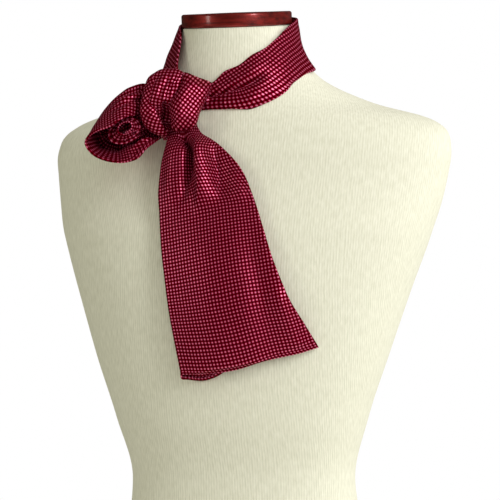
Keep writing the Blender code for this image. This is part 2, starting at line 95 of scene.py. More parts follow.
def linear(hex_colour: str) -> Colour:
    """Turns an sRGB colour into the linear one that a shader reads.

    Args:
        hex_colour: Six hex digits after a hash.

    Returns:
        Red, green, blue and an alpha of 1.
    """
    channels = [int(hex_colour[k : k + 2], 16) / 255 for k in (1, 3, 5)]
    straight = [c / 12.92 if c <= 0.04045 else ((c + 0.055) / 1.055) ** 2.4 for c in channels]
    return (*straight, 1.0)


def per_metre(millimetres: float) -> float:
    """How many times a pattern of this size goes into a metre, the scale that noise is set by."""
    return 1 / (millimetres * MM)


def unit(vectors: np.ndarray) -> np.ndarray:
    """Scales vectors in the last axis to a length of 1."""
    return vectors / np.maximum(np.linalg.norm(vectors, axis=-1, keepdims=True), 1e-9)


def hermite(
    first: np.ndarray, last: np.ndarray, start_slope: np.ndarray, end_slope: np.ndarray, t: np.ndarray
) -> np.ndarray:
    """Reads the cubic with these ends and slopes.

    Args:
        first: The value at 0.
        last: The value at 1.
        start_slope: The slope at 0.
        end_slope: The slope at 1.
        t: Places from 0 to 1.

    Returns:
        The values there.
    """
    t2, t3 = t * t, t * t * t
    ends = first * (2 * t3 - 3 * t2 + 1) + last * (3 * t2 - 2 * t3)
    return ends + start_slope * (t3 - 2 * t2 + t) + end_slope * (t3 - t2)


def through(stops: Sequence, at: np.ndarray) -> np.ndarray:
    """Reads a smooth curve that passes through every stop.

    Args:
        stops: Numbers or rows of numbers, evenly spaced along the curve.
        at: Places from 0 to 1.

    Returns:
        One value, or one row, for each place.
    """
    table = np.asarray(stops, float)
    place = np.clip(np.asarray(at, float), 0, 1) * (len(table) - 1)
    i = np.minimum(place.astype(int), len(table) - 2)
    t = place - i
    if table.ndim > 1:
        t = t[..., None]
    a, b, c, d = (table[np.clip(i + k, 0, len(table) - 1)] for k in (-1, 0, 1, 2))
    return hermite(b, c, (c - a) / 2, (d - b) / 2, t)


def level_through(keys: Sequence[float], table: Sequence, at: np.ndarray) -> np.ndarray:
    """Reads a curve through rows at uneven keys that never goes past two neighbouring rows.

    Args:
        keys: The rows' keys, rising.
        table: One row of numbers for each key.
        at: The keys to read.

    Returns:
        One row for each key read.
    """
    keys, table = np.asarray(keys, float), np.asarray(table, float)
    at = np.clip(np.asarray(at, float), keys[0], keys[-1])
    secants = np.diff(table, axis=0) / np.diff(keys)[:, None]
    before, after = secants[:-1], secants[1:]
    both = before * after
    inner = np.where(both > 0, 2 * both / np.where(both > 0, before + after, 1), 0)
    slopes = np.concatenate([secants[:1], inner, secants[-1:]])
    i = np.clip(np.searchsorted(keys, at, side="right") - 1, 0, len(keys) - 2)
    step = (keys[i + 1] - keys[i])[..., None]
    t = (at - keys[i])[..., None] / step
    return hermite(table[i], table[i + 1], slopes[i] * step, slopes[i + 1] * step, t)


def smooth_step(low: float, high: float, value: np.ndarray) -> np.ndarray:
    """Rises from 0 at low to 1 at high with level ends."""
    t = np.clip((value - low) / (high - low), 0, 1)
    return t * t * (3 - 2 * t)


def facing_normals(points: Grid) -> Grid:
    """The directions out of a grid of cloth, square to it at each point."""
    return unit(np.cross(np.gradient(points, axis=0), np.gradient(points, axis=1)))


def run_lengths(points: Grid, axis: int) -> np.ndarray:
    """Measures on the cloth how far along one axis of a grid each point lies.

    Args:
        points: The grid.
        axis: 0 to measure along the stretch, 1 to measure across it.

    Returns:
        Millimetres from the first row or column.
    """
    steps = np.linalg.norm(np.diff(points, axis=axis), axis=-1)
    pad = [(0, 0), (0, 0)]
    pad[axis] = (1, 0)
    return np.cumsum(np.pad(steps, pad), axis=axis)


def turned_to_world(points: np.ndarray) -> np.ndarray:
    """Turns the bow's own frame into the form's.

    Args:
        points: Across, up and out, in millimetres.

    Returns:
        X, Y and Z, in millimetres.
    """
    angle = math.radians(SHOW_TURN)
    across, up, out = points[..., 0], points[..., 1], points[..., 2]
    x = across * math.cos(angle) + out * math.sin(angle)
    y = across * math.sin(angle) - out * math.cos(angle)
    return np.stack([x, y, up], axis=-1)


def world_to_turned(points: np.ndarray) -> np.ndarray:
    """Turns the form's frame into the bow's own.

    Args:
        points: X, Y and Z, in millimetres.

    Returns:
        Across, up and out, in millimetres.
    """
    angle = math.radians(SHOW_TURN)
    x, y, up = points[..., 0], points[..., 1], points[..., 2]
    across = x * math.cos(angle) + y * math.sin(angle)
    out = x * math.sin(angle) - y * math.cos(angle)
    return np.stack([across, up, out], axis=-1)


@dataclass(frozen=True)
class Nearness:
    """Where points lie beside a curve."""

    along: np.ndarray  # the share of the curve's length, 0 to 1
    aside: np.ndarray  # the distance from it, above 0 on its left as it runs


def beside(path: Sequence[tuple[float, float]], chart: np.ndarray, stops: int = 48) -> Nearness:
    """Measures points against a smooth curve in a flat chart.

    Args:
        path: The curve's own points.
        chart: The points to measure, with two coordinates in the last axis.
        stops: How many points the curve is read at.

    Returns:
        How far along and how far aside each point lies.
    """
    line = through(path, np.linspace(0, 1, stops))
    starts, runs = line[:-1], np.diff(line, axis=0)
    lengths = np.linalg.norm(runs, axis=1)
    flat = chart.reshape(-1, 2)
    to = flat[:, None, :] - starts[None]
    share = np.clip((to * runs).sum(-1) / lengths**2, 0, 1)
    gaps = to - share[..., None] * runs
    far = np.linalg.norm(gaps, axis=-1)
    nearest = far.argmin(axis=1)
    rows = np.arange(len(flat))
    before = np.concatenate([[0], np.cumsum(lengths)])
    along = (before[nearest] + share[rows, nearest] * lengths[nearest]) / before[-1]
    cross = runs[nearest, 0] * to[rows, nearest, 1] - runs[nearest, 1] * to[rows, nearest, 0]
    aside = far[rows, nearest] * np.where(cross >= 0, 1, -1)
    return Nearness(along.reshape(chart.shape[:-1]), aside.reshape(chart.shape[:-1]))


@dataclass(frozen=True)
class Crease:
    """A soft ridge or trough in the silk.

    Its path runs the way the fold does. The two widths are how far it spreads to the left and to the
    right of that way, so that one side can be steep and the other long.
    """

    path: Path
    height: float
    left: float
    right: float
    chart: Chart = Chart.FACE
    start_fade: float = 0.3
    end_fade: float = 0.4

    def raised(self, face: Grid, shares: Grid, size: tuple[float, float]) -> np.ndarray:
        """How far this fold lifts each point of a grid.

        Args:
            face: Each point's across and up.
            shares: Each point's share aside and along.
            size: The stretch's width and length, in millimetres.

        Returns:
            Heights in millimetres, below nought in a trough.
        """
        if self.chart is Chart.FACE:
            near = beside(self.path, face)
        else:
            scale = np.array(size)
            near = beside(np.array(self.path) * scale, shares * scale)
        spread = np.where(near.aside >= 0, self.left, self.right)
        profile = np.exp(-((near.aside / spread) ** 2))
        fade = smooth_step(0, self.start_fade, near.along) * smooth_step(0, self.end_fade, 1 - near.along)
        return self.height * fade * profile


@dataclass(frozen=True)
class Ring:
    """One level section of the dress form: its height, sizes, swept-back sides and squareness."""

    height: float
    half_width: float
    front: float
    back: float
    sweep: float
    roundness: float


@dataclass
class FormShape:
    """The padded body's surface, the same as the solid's, as a function of height and angle."""

    neck_height: float = 650.2
    neck_lean: float = 5.8  # degrees that the neck's top leans forward
    lean_starts: float = 585.0
    cap_zone: float = 8.0  # how far over the neck's end the cloth still keeps clear of it
    rings: tuple[Ring, ...] = (
        Ring(0.0, 166.0, 112.0, 116.0, 0.0, 2.2),
        Ring(40.0, 168.0, 114.0, 118.0, 0.0, 2.2),
        Ring(100.0, 149.0, 111.0, 104.0, 0.0, 2.2),
        Ring(150.0, 124.0, 106.0, 84.0, 0.0, 2.15),
        Ring(181.0, 114.5, 105.0, 73.0, 0.0, 2.1),
        Ring(205.0, 112.5, 106.0, 70.0, 0.0, 2.1),
        Ring(265.0, 127.5, 121.0, 75.0, 0.0, 2.1),
        Ring(325.0, 148.0, 131.0, 84.0, 0.0, 2.1),
        Ring(385.0, 168.0, 135.0, 96.0, 0.0, 2.1),
        Ring(445.0, 189.0, 128.0, 102.0, 0.0, 2.1),
        Ring(475.0, 198.0, 118.0, 102.0, 2.0, 2.05),
        Ring(505.0, 204.5, 108.0, 98.0, 4.0, 2.0),
        Ring(525.0, 207.5, 104.0, 92.0, 7.0, 1.95),
        Ring(540.0, 205.5, 100.0, 87.0, 11.0, 1.9),
        Ring(548.0, 201.0, 99.0, 84.0, 15.0, 1.85),
        Ring(556.0, 190.0, 98.0, 80.0, 19.0, 1.8),
        Ring(562.5, 173.5, 97.0, 76.0, 20.0, 1.8),
        Ring(567.0, 156.0, 96.5, 72.0, 18.0, 1.8),
        Ring(573.0, 134.0, 96.0, 65.0, 14.0, 1.85),
        Ring(581.0, 114.0, 95.0, 55.0, 9.0, 1.9),
        Ring(588.5, 98.0, 94.0, 46.0, 5.0, 1.95),
        Ring(597.0, 84.0, 93.0, 37.0, 2.0, 2.0),
        Ring(609.0, 72.0, 92.0, 29.0, 0.0, 2.0),
        Ring(620.0, 64.0, 91.0, 24.0, 0.0, 2.0),
        Ring(635.0, 56.5, 90.0, 19.5, 0.0, 2.0),
        Ring(650.2, 53.5, 89.5, 17.5, 0.0, 2.0),
    )

    def __post_init__(self) -> None:
        """Keeps the table as arrays, for reading many places at once."""
        self.keys = np.array([r.height for r in self.rings])
        self.table = np.array([(r.half_width, r.front, r.back, r.sweep, r.roundness) for r in self.rings])

    def ring_at(self, height: np.ndarray) -> tuple[np.ndarray, ...]:
        """The half width, front, back, sweep and roundness at some heights."""
        found = level_through(self.keys, self.table, height)
        return tuple(found[..., k] for k in range(found.shape[-1]))

    def lean_at(self, height: np.ndarray) -> np.ndarray:
        """How much a ring rises for each millimetre towards its back."""
        share = np.clip((height - self.lean_starts) / (self.neck_height - self.lean_starts), 0, 1)
        return math.tan(math.radians(self.neck_lean)) * share

    def point(self, height: np.ndarray, angle: np.ndarray, lift: np.ndarray | float = 0.0) -> np.ndarray:
        """Places on or off the surface.

        Args:
            height: Heights in millimetres.
            angle: The rings' own angles, from +X towards +Y, in radians.
            lift: How far out of the surface.

        Returns:
            X, Y and Z in millimetres.
        """
        half_width, front, back, sweep, roundness = self.ring_at(height)
        middle, half_depth = (back - front) / 2, (back + front) / 2
        power = 2 / roundness
        x = half_width * np.copysign(np.abs(np.cos(angle)) ** power, np.cos(angle))
        y = half_depth * np.copysign(np.abs(np.sin(angle)) ** power, np.sin(angle))
        stretch = 1 + lift / np.hypot(x, y)
        x, y = x * stretch, y * stretch
        y = y + sweep * (x / half_width) ** 2
        return np.stack([x, middle + y, height + self.lean_at(height) * y], axis=-1)

    def angle_facing(self, height: np.ndarray, direction: np.ndarray) -> np.ndarray:
        """Finds where a ray from a ring's middle meets the ring.

        Args:
            height: The rings' heights, in millimetres.
            direction: The rays' directions, from +X towards +Y, in radians.

        Returns:
            The rings' own angles there, as point takes them.
        """
        half_width, front, back, _, roundness = self.ring_at(height)
        power = roundness / 2
        across, deep = np.cos(direction) / half_width, np.sin(direction) * 2 / (back + front)
        across = np.copysign(np.abs(across) ** power, across)
        deep = np.copysign(np.abs(deep) ** power, deep)
        return np.arctan2(deep, across)

    def clear_of(self, points: np.ndarray, gap: float) -> np.ndarray:
        """Moves points out until none is nearer to the form than a gap.

        Args:
            points: X, Y and Z in millimetres.
            gap: The least distance out of the surface.

        Returns:
            The moved points.
        """
        found = points.copy()
        for _ in range(2):
            height = found[..., 2]
            _, front, back, _, _ = self.ring_at(height)
            rise = self.lean_at(height) * (found[..., 1] - (back - front) / 2)
            ring_height = np.clip(height - rise, 0, self.neck_height)
            half_width, front, back, sweep, _ = self.ring_at(ring_height)
            middle = (back - front) / 2
            y = found[..., 1] - middle - sweep * (found[..., 0] / half_width) ** 2
            direction = np.arctan2(y, found[..., 0])
            wall = self.point(ring_height, self.angle_facing(ring_height, direction))
            wall_y = wall[..., 1] - middle - sweep * (wall[..., 0] / half_width) ** 2
            radius, wall_radius = np.hypot(found[..., 0], y), np.hypot(wall[..., 0], wall_y)
            short = np.clip(wall_radius + gap - radius, 0, None)
            short = np.where(height > self.neck_height + self.cap_zone, 0, short)
            found[..., 0] += short * np.cos(direction)
            found[..., 1] += short * np.sin(direction)
        return found


def set_inputs(tree: bpy.types.NodeTree, node: bpy.types.Node, inputs: dict) -> None:
    """Sets or links a shader node's inputs.

    Args:
        tree: The node tree.
        node: The node.
        inputs: By input name or number, a value, a socket, or a node whose first output is meant.
    """
    for key, given in inputs.items():
        source = given.outputs[0] if isinstance(given, bpy.types.Node) else given
        if isinstance(source, bpy.types.NodeSocket):
            tree.links.new(source, node.inputs[key])
        else:
            node.inputs[key].default_value = source


def add_node(tree: bpy.types.NodeTree, kind: str, inputs: dict | None = None, **settings) -> bpy.types.Node:
    """Adds a shader node, with its settings and links.

    Args:
        tree: The node tree.
        kind: The node's type, such as ShaderNodeMath.
        inputs: Values, sockets or nodes by input name or number.
        settings: Values by attribute name.

    Returns:
        The node.
    """
    node = tree.nodes.new(kind)
    for name, value in settings.items():
        setattr(node, name, value)
    set_inputs(tree, node, inputs or {})
    return node


def new_material(name: str) -> tuple[bpy.types.Material, bpy.types.NodeTree, bpy.types.Node]:
    """Starts a material.

    Args:
        name: The real material's name, and how its surface was made.

    Returns:
        The material, its node tree and its shader.
    """
    made = bpy.data.materials.new(name)
    made.use_nodes = True
    return made, made.node_tree, made.node_tree.nodes["Principled BSDF"]


@dataclass(frozen=True)
class SilkGingham:
    """Plain-woven silk in a micro check, dyed in the yarn, with a soft sheen.

    Crimson-pink yarns and near-black ones change places every half repeat, both ways. Where pink
    crosses pink the eye sees a bright square, where dark crosses dark a black one, and where they
    cross each other a deep crimson. The sheen is the yarn's own, so it takes the squares' colours.
    """

    name: str = "silk gingham, woven"
    repeat: float = 3.5  # millimetres from one pink stripe to the next
    thread: float = 0.35  # real threads are 0.12 mm apart; drawn this coarse so that they show
    shades: tuple[tuple[float, str], ...] = (  # from dark crossing dark to pink crossing pink
        (0.08, "#440003"),
        (0.5, "#7E001A"),
        (0.8, "#B00A34"),
        (1.0, "#F27A9E"),
    )
    edge: float = 0.22  # how far a stripe's edge blurs, as a share of its wave
    narrower: float = 0.12  # how much less than half of the repeat a pink stripe takes
    wander: float = 0.6  # millimetres that the yarns stray from their lines
    wander_size: float = 18.18  # millimetres over which they do
    slub: float = 1.11  # millimetres of yarn that run a little lighter or darker
    slub_tones: tuple[float, float] = (0.86, 1.1)
    lustre: tuple[float, float] = (0.2, 0.62)  # how metallic the dark and the pink yarns look
    roughness: tuple[float, float] = (0.6, 0.4)
    gloss: tuple[float, float] = (0.0, 1.0)  # only the pink yarns glint
    glint_from: float = 0.6  # the share of pink at which they start to
    # the whole cloth's, for a reader that takes one number
    plain_gloss: float = 0.2  # the whole cloth's, set as the socket's own number before the pink yarns' gloss is linked to it
    relief: float = 0.12

    def stripe(self, tree: bpy.types.NodeTree, along: bpy.types.NodeSocket) -> bpy.types.Node:
        """Lays one set of yarns.

        Args:
            tree: The material's nodes.
            along: The place in the cloth across these yarns, in metres.

        Returns:
            A node that gives 1 in a pink stripe and 0 in a dark one, with soft edges.
        """
        inputs = {0: along, 1: 2 * math.pi * per_metre(self.repeat)}
        turn = add_node(tree, MATH, inputs, operation="MULTIPLY")
        wave = add_node(tree, MATH, {0: turn}, operation="SINE")
        uneven = add_node(tree, MATH, {0: wave, 1: self.narrower}, operation="SUBTRACT")
        soft = add_node(tree, MATH, {0: uneven, 1: 2 * self.edge}, operation="DIVIDE")
        return add_node(tree, MATH, {0: soft, 1: 0.5}, operation="ADD", use_clamp=True)

    def weave(self, tree: bpy.types.NodeTree, sides: bpy.types.Node) -> bpy.types.Node:
        """Raises the single threads.

        Args:
            tree: The material's nodes.
            sides: The node that gives the two places in the cloth.

        Returns:
            A node that gives the height of the plain weave, from -1 to 1.
        """
        threads = []
        for side in ("X", "Y"):
            inputs = {0: sides.outputs[side], 1: 2 * math.pi * per_metre(self.thread)}
            turn = add_node(tree, MATH, inputs, operation="MULTIPLY")
            threads.append(add_node(tree, MATH, {0: turn}, operation="SINE"))
        return add_node(tree, MATH, dict(enumerate(threads)), operation="MULTIPLY")

    def material(self) -> bpy.types.Material:
        """Builds the woven check from the cloth's own measure, which its UV map holds in metres.

        Returns:
            The material.
        """
        made, tree, shader = new_material(self.name)
        cloth = add_node(tree, "ShaderNodeUVMap", uv_map="Cloth")
        inputs = {"Vector": cloth, "Scale": per_metre(self.wander_size), "Detail": 1.0}
        wander = add_node(tree, NOISE, inputs, noise_dimensions="2D")
        inputs = {0: wander.outputs["Color"], "Scale": self.wander * MM}
        shift = add_node(tree, VECTOR_MATH, inputs, operation="SCALE")
        moved = add_node(tree, VECTOR_MATH, {0: cloth, 1: shift}, operation="ADD")
        sides = add_node(tree, "ShaderNodeSeparateXYZ", {0: moved})
        warp, weft = (self.stripe(tree, sides.outputs[side]) for side in ("X", "Y"))
        crossed = add_node(tree, MATH, {0: warp, 1: weft}, operation="ADD")
        pink_share = add_node(tree, MATH, {0: crossed, 1: 0.5}, operation="MULTIPLY")
        ramp = add_node(tree, RAMP, {0: pink_share})
        stops = ramp.color_ramp.elements
        stops[0].position, stops[1].position = self.shades[0][0], self.shades[-1][0]
        for position, _ in self.shades[1:-1]:
            stops.new(position)
        for stop, (_, shade) in zip(stops, self.shades):
            stop.color = linear(shade)
        inputs = {"Vector": cloth, "Scale": per_metre(self.slub), "Detail": 2.0}
        slubs = add_node(tree, NOISE, inputs, noise_dimensions="2D")
        low, high = self.slub_tones
        inputs = {"Value": slubs, "From Min": 0.3, "From Max": 0.7, "To Min": low, "To Max": high}
        tone = add_node(tree, MAP_RANGE, inputs)
        coloured = add_node(tree, VECTOR_MATH, {0: ramp, "Scale": tone}, operation="SCALE")
        inputs = {"Strength": self.relief, "Distance": BUMP_DEPTH, "Height": self.weave(tree, sides)}
        raised = add_node(tree, BUMP, inputs)
        shader.inputs["Specular IOR Level"].default_value = self.plain_gloss
        set_inputs(tree, shader, {"Base Color": coloured, "Normal": raised})
        for socket, start, (low, high) in (
            ("Metallic", 0.0, self.lustre),
            ("Roughness", 0.0, self.roughness),
            ("Specular IOR Level", self.glint_from, self.gloss),
        ):
            inputs = {"Value": pink_share, "From Min": start, "To Min": low, "To Max": high}
            set_inputs(tree, shader, {socket: add_node(tree, MAP_RANGE, inputs)})
        return made


@dataclass(frozen=True)
class CottonJersey:
    """Cream cotton jersey, knitted in fine upright wales and stretched over the padded form.

    Painted light and shade: the wales are painted as faint lighter upright lines and their grooves painted
    a little greyer, over lighter and darker streaks in the yarn.
    """

    name: str = "cotton jersey, knitted"
    wale: float = 2.6  # millimetres between two wales; real ones are 1 mm apart, too fine to show
    course: float = 1.3
    wander: float = 2.0  # millimetres that the wales stray from their lines
    wander_size: float = 40.0
    streak: tuple[float, float] = (2.0, 9.09)  # width and length of a lighter or darker streak
    # lit is the cream with painted light on the wales' ridges; the next colour is painted shade in the
    # grooves; both also colour the random streaks
    lit: str = "#F6F3DC"
    groove_shade_and_streak: str = "#E2DFC5"
    wale_shading: float = 0.17  # how far the painted wale light and groove shade change the colour, beside the streaks
    course_height: float = 0.4  # beside the wales' 1
    roughness: float = 0.9
    relief: float = 0.3
    fuzz: float = 0.05
    fuzz_roughness: float = 0.6

    def material(self) -> bpy.types.Material:
        """Builds the wales from the cover's own measure round and up the form, in metres.

        Returns:
            The material.
        """
        made, tree, shader = new_material(self.name)
        cloth = add_node(tree, "ShaderNodeUVMap", uv_map="Cloth")
        inputs = {"Vector": cloth, "Scale": per_metre(self.wander_size), "Detail": 1.0}
        wander = add_node(tree, NOISE, inputs, noise_dimensions="2D")
        sides = add_node(tree, "ShaderNodeSeparateXYZ", {0: cloth})
        inputs = {0: wander, 1: self.wander * MM, 2: sides.outputs["X"]}
        strayed = add_node(tree, MATH, inputs, operation="MULTIPLY_ADD")
        knit = []
        for place, spacing in ((strayed, self.wale), (sides.outputs["Y"], self.course)):
            inputs = {0: place, 1: 2 * math.pi * per_metre(spacing)}
            turn = add_node(tree, MATH, inputs, operation="MULTIPLY")
            knit.append(add_node(tree, MATH, {0: turn}, operation="SINE"))
        wales, courses = knit
        inputs = {0: cloth, 1: (*map(per_metre, self.streak), 1.0)}
        streak_place = add_node(tree, VECTOR_MATH, inputs, operation="MULTIPLY")
        inputs = {"Vector": streak_place, "Scale": 1.0, "Detail": 3.0}
        streaks = add_node(tree, NOISE, inputs, noise_dimensions="2D")
        # painted light and shade: the wales' wave lightens the colour on their ridges and darkens it in
        # their grooves, over the streaks
        inputs = {0: wales, 1: self.wale_shading, 2: streaks}
        ramp = add_node(tree, RAMP, {0: add_node(tree, MATH, inputs, operation="MULTIPLY_ADD")})
        stops = ramp.color_ramp.elements
        stops[0].position, stops[0].color = 0.2, linear(self.groove_shade_and_streak)
        stops[1].position, stops[1].color = 0.8, linear(self.lit)
        inputs = {0: courses, 1: self.course_height, 2: wales}
        height = add_node(tree, MATH, inputs, operation="MULTIPLY_ADD")
        inputs = {"Strength": self.relief, "Distance": BUMP_DEPTH, "Height": height}
        set_inputs(tree, shader, {"Base Color": ramp, "Normal": add_node(tree, BUMP, inputs)})
        shader.inputs["Roughness"].default_value = self.roughness
        shader.inputs["Sheen Weight"].default_value = self.fuzz
        shader.inputs["Sheen Roughness"].default_value = self.fuzz_roughness
        return made


@dataclass(frozen=True)
class TurnedMahogany:
    """Mahogany, turned on a lathe, stained red-brown and varnished.

    The grain runs straight across the disc, as fine dark pores and slow bands, under a clear coat
    that mirrors the studio's lamps as soft upright bands.
    """

    name: str = "mahogany, turned and varnished"
    ground: str = "#A4281F"
    grain: str = "#4A0B07"
    band: tuple[float, float, float] = (71.43, 9.0, 3.85)  # millimetres along the grain, across and up
    pore: tuple[float, float, float] = (16.67, 0.714, 0.714)  # a real one is a third as wide, too fine
    pore_tone: float = 0.35  # how far the pores change the colour, beside the bands
    relief: float = 0.05
    roughness: float = 0.4
    lustre: float = 0.6
    coat: float = 0.6
    coat_roughness: float = 0.14

    def noise_of(
        self, tree: bpy.types.NodeTree, place: bpy.types.NodeSocket, size: Sequence[float], **inputs: float
    ) -> bpy.types.Node:
        """Lays one pattern of the grain.

        Args:
            tree: The material's nodes.
            place: The place in the wood.
            size: The pattern's length, width and height, in millimetres.
            inputs: The noise's own settings.

        Returns:
            The noise.
        """
        scale = tuple(map(per_metre, size))
        pulled = add_node(tree, VECTOR_MATH, {0: place, 1: scale}, operation="MULTIPLY")
        return add_node(tree, NOISE, {"Vector": pulled, "Scale": 1.0, **inputs})

    def material(self) -> bpy.types.Material:
        """Builds the grain from the cap's own place, so that it runs through top and side alike.

        Returns:
            The material.
        """
        made, tree, shader = new_material(self.name)
        place = add_node(tree, "ShaderNodeTexCoord").outputs["Object"]
        bands = self.noise_of(tree, place, self.band, Detail=4.0, Roughness=0.6)
        pores = self.noise_of(tree, place, self.pore, Detail=2.0)
        inputs = {0: pores, 1: self.pore_tone, 2: bands}
        ramp = add_node(tree, RAMP, {0: add_node(tree, MATH, inputs, operation="MULTIPLY_ADD")})
        stops = ramp.color_ramp.elements
        stops[0].position, stops[0].color = 0.45, linear(self.grain)
        stops[1].position, stops[1].color = 0.85, linear(self.ground)
        inputs = {"Strength": self.relief, "Distance": BUMP_DEPTH, "Height": pores}
        set_inputs(tree, shader, {"Base Color": ramp, "Normal": add_node(tree, BUMP, inputs)})
        shader.inputs["Roughness"].default_value = self.roughness
        shader.inputs["Metallic"].default_value = self.lustre
        shader.inputs["Coat Weight"].default_value = self.coat
        shader.inputs["Coat Roughness"].default_value = self.coat_roughness
        return made


@dataclass(frozen=True)
class PaintedFloor:
    """Matt white emulsion, rolled on a flat board: an even pale ground."""

    name: str = "emulsion paint, rolled"
    colour: str = "#DFDFDB"
    mottle: float = 3.33  # millimetres between the small rises that a roller leaves
    mottle_depth: float = 0.5
    relief: float = 0.05
    roughness: float = 0.8

    def material(self) -> bpy.types.Material:
        """Builds the paint with the faint mottling that a roller leaves.

        Returns:
            The material.
        """
        made, tree, shader = new_material(self.name)
        mottle = add_node(tree, NOISE, {"Scale": per_metre(self.mottle), "Detail": 2.0})
        inputs = {"Strength": self.relief, "Distance": self.mottle_depth * MM, "Height": mottle}
        set_inputs(tree, shader, {"Normal": add_node(tree, BUMP, inputs)})
        shader.inputs["Base Color"].default_value = linear(self.colour)
        shader.inputs["Roughness"].default_value = self.roughness
        return made


def mesh_object(
    name: str, points: np.ndarray, faces: Iterable[Sequence[int]], uv: np.ndarray | None = None
) -> bpy.types.Object:
    """Makes a smooth-shaded object.

    Args:
        name: The piece's name.
        points: X, Y and Z in millimetres.
        faces: Corner numbers of each face.
        uv: Each point's place in its cloth, in millimetres, kept as a UV map in metres.

    Returns:
        The object, linked to the scene.
    """
    mesh = bpy.data.meshes.new(name)
    mesh.from_pydata((points.reshape(-1, 3) * MM).tolist(), [], list(faces))
    if uv is not None:
        layer = mesh.uv_layers.new(name="Cloth")
        corners = np.zeros(len(mesh.loops), np.int32)
        mesh.loops.foreach_get("vertex_index", corners)
        layer.data.foreach_set("uv", (uv.reshape(-1, 2)[corners] * MM).astype(np.float32).ravel())
    mesh.shade_smooth()
    mesh.update()
    made = bpy.data.objects.new(name, mesh)
    bpy.context.scene.collection.objects.link(made)
    return made


def grid_faces(rows: int, columns: int, closed: bool = False) -> list[tuple[int, int, int, int]]:
    """Lists the squares of a grid of points, wound so that they face the way facing_normals gives.

    Args:
        rows: How many rows of points there are.
        columns: How many points there are in a row.
        closed: Whether the last column joins the first.

    Returns:
        Four corner numbers for each square.
    """
    faces = []
    for i in range(rows - 1):
        for j in range(columns if closed else columns - 1):
            after = (j + 1) % columns
            low, high = i * columns, (i + 1) * columns
            faces.append((low + j, high + j, high + after, low + after))
    return faces


def turned_edge(
    points: Grid,
    places: Grid,
    edge: Edge,
    radius: float,
    under: float | np.ndarray,
    turns: int = 6,
    backs: int = 4,
    chord: int = 2,
) -> tuple[Grid, Grid]:
    """Turns one edge of the cloth round and back under it.

    Args:
        points: The cloth's points.
        places: Their places in the cloth.
        edge: Which edge.
        radius: The turn's radius, in millimetres.
        under: How far the cloth goes back under, for all rows or for each.
        turns: Steps round the turn.
        backs: Steps of the part that goes back under.
        chord: How many columns the cloth's slope at the edge is taken over.

    Returns:
        The points and places with the new ones joined on.
    """
    out = facing_normals(points)
    if edge is Edge.HEM:
        points, places, out = (grid.transpose(1, 0, 2) for grid in (points, places, out))
    if edge is Edge.LEFT:
        points, places, out = points[:, ::-1], places[:, ::-1], out[:, ::-1]
    last, normal = points[:, -1], out[:, -1]
    step = np.linalg.norm(points[:, -1] - points[:, -3], axis=1, keepdims=True)
    place_step = (places[:, -1] - places[:, -3]) / step
    aside = unit(points[:, -1] - points[:, -1 - chord])
    normal = unit(normal - aside * (normal * aside).sum(axis=1, keepdims=True))
    middle = last - normal * radius
    new_points, new_places = [], []
    for k in range(1, turns + 1):
        angle = math.pi * k / turns
        new_points.append(middle + (normal * math.cos(angle) + aside * math.sin(angle)) * radius)
        new_places.append(places[:, -1] + place_step * radius * angle)
    reach = np.broadcast_to(np.asarray(under, float), (len(points),))[:, None]
    for k in range(1, backs + 1):
        share = k / backs
        new_points.append(middle - normal * radius - aside * reach * share)
        new_places.append(places[:, -1] + place_step * (radius * math.pi + reach * share))
    points = np.concatenate([points, np.stack(new_points, axis=1)], axis=1)
    places = np.concatenate([places, np.stack(new_places, axis=1)], axis=1)
    if edge is Edge.LEFT:
        points, places = points[:, ::-1], places[:, ::-1]
    if edge is Edge.HEM:
        points, places = points.transpose(1, 0, 2), places.transpose(1, 0, 2)
    return points, places


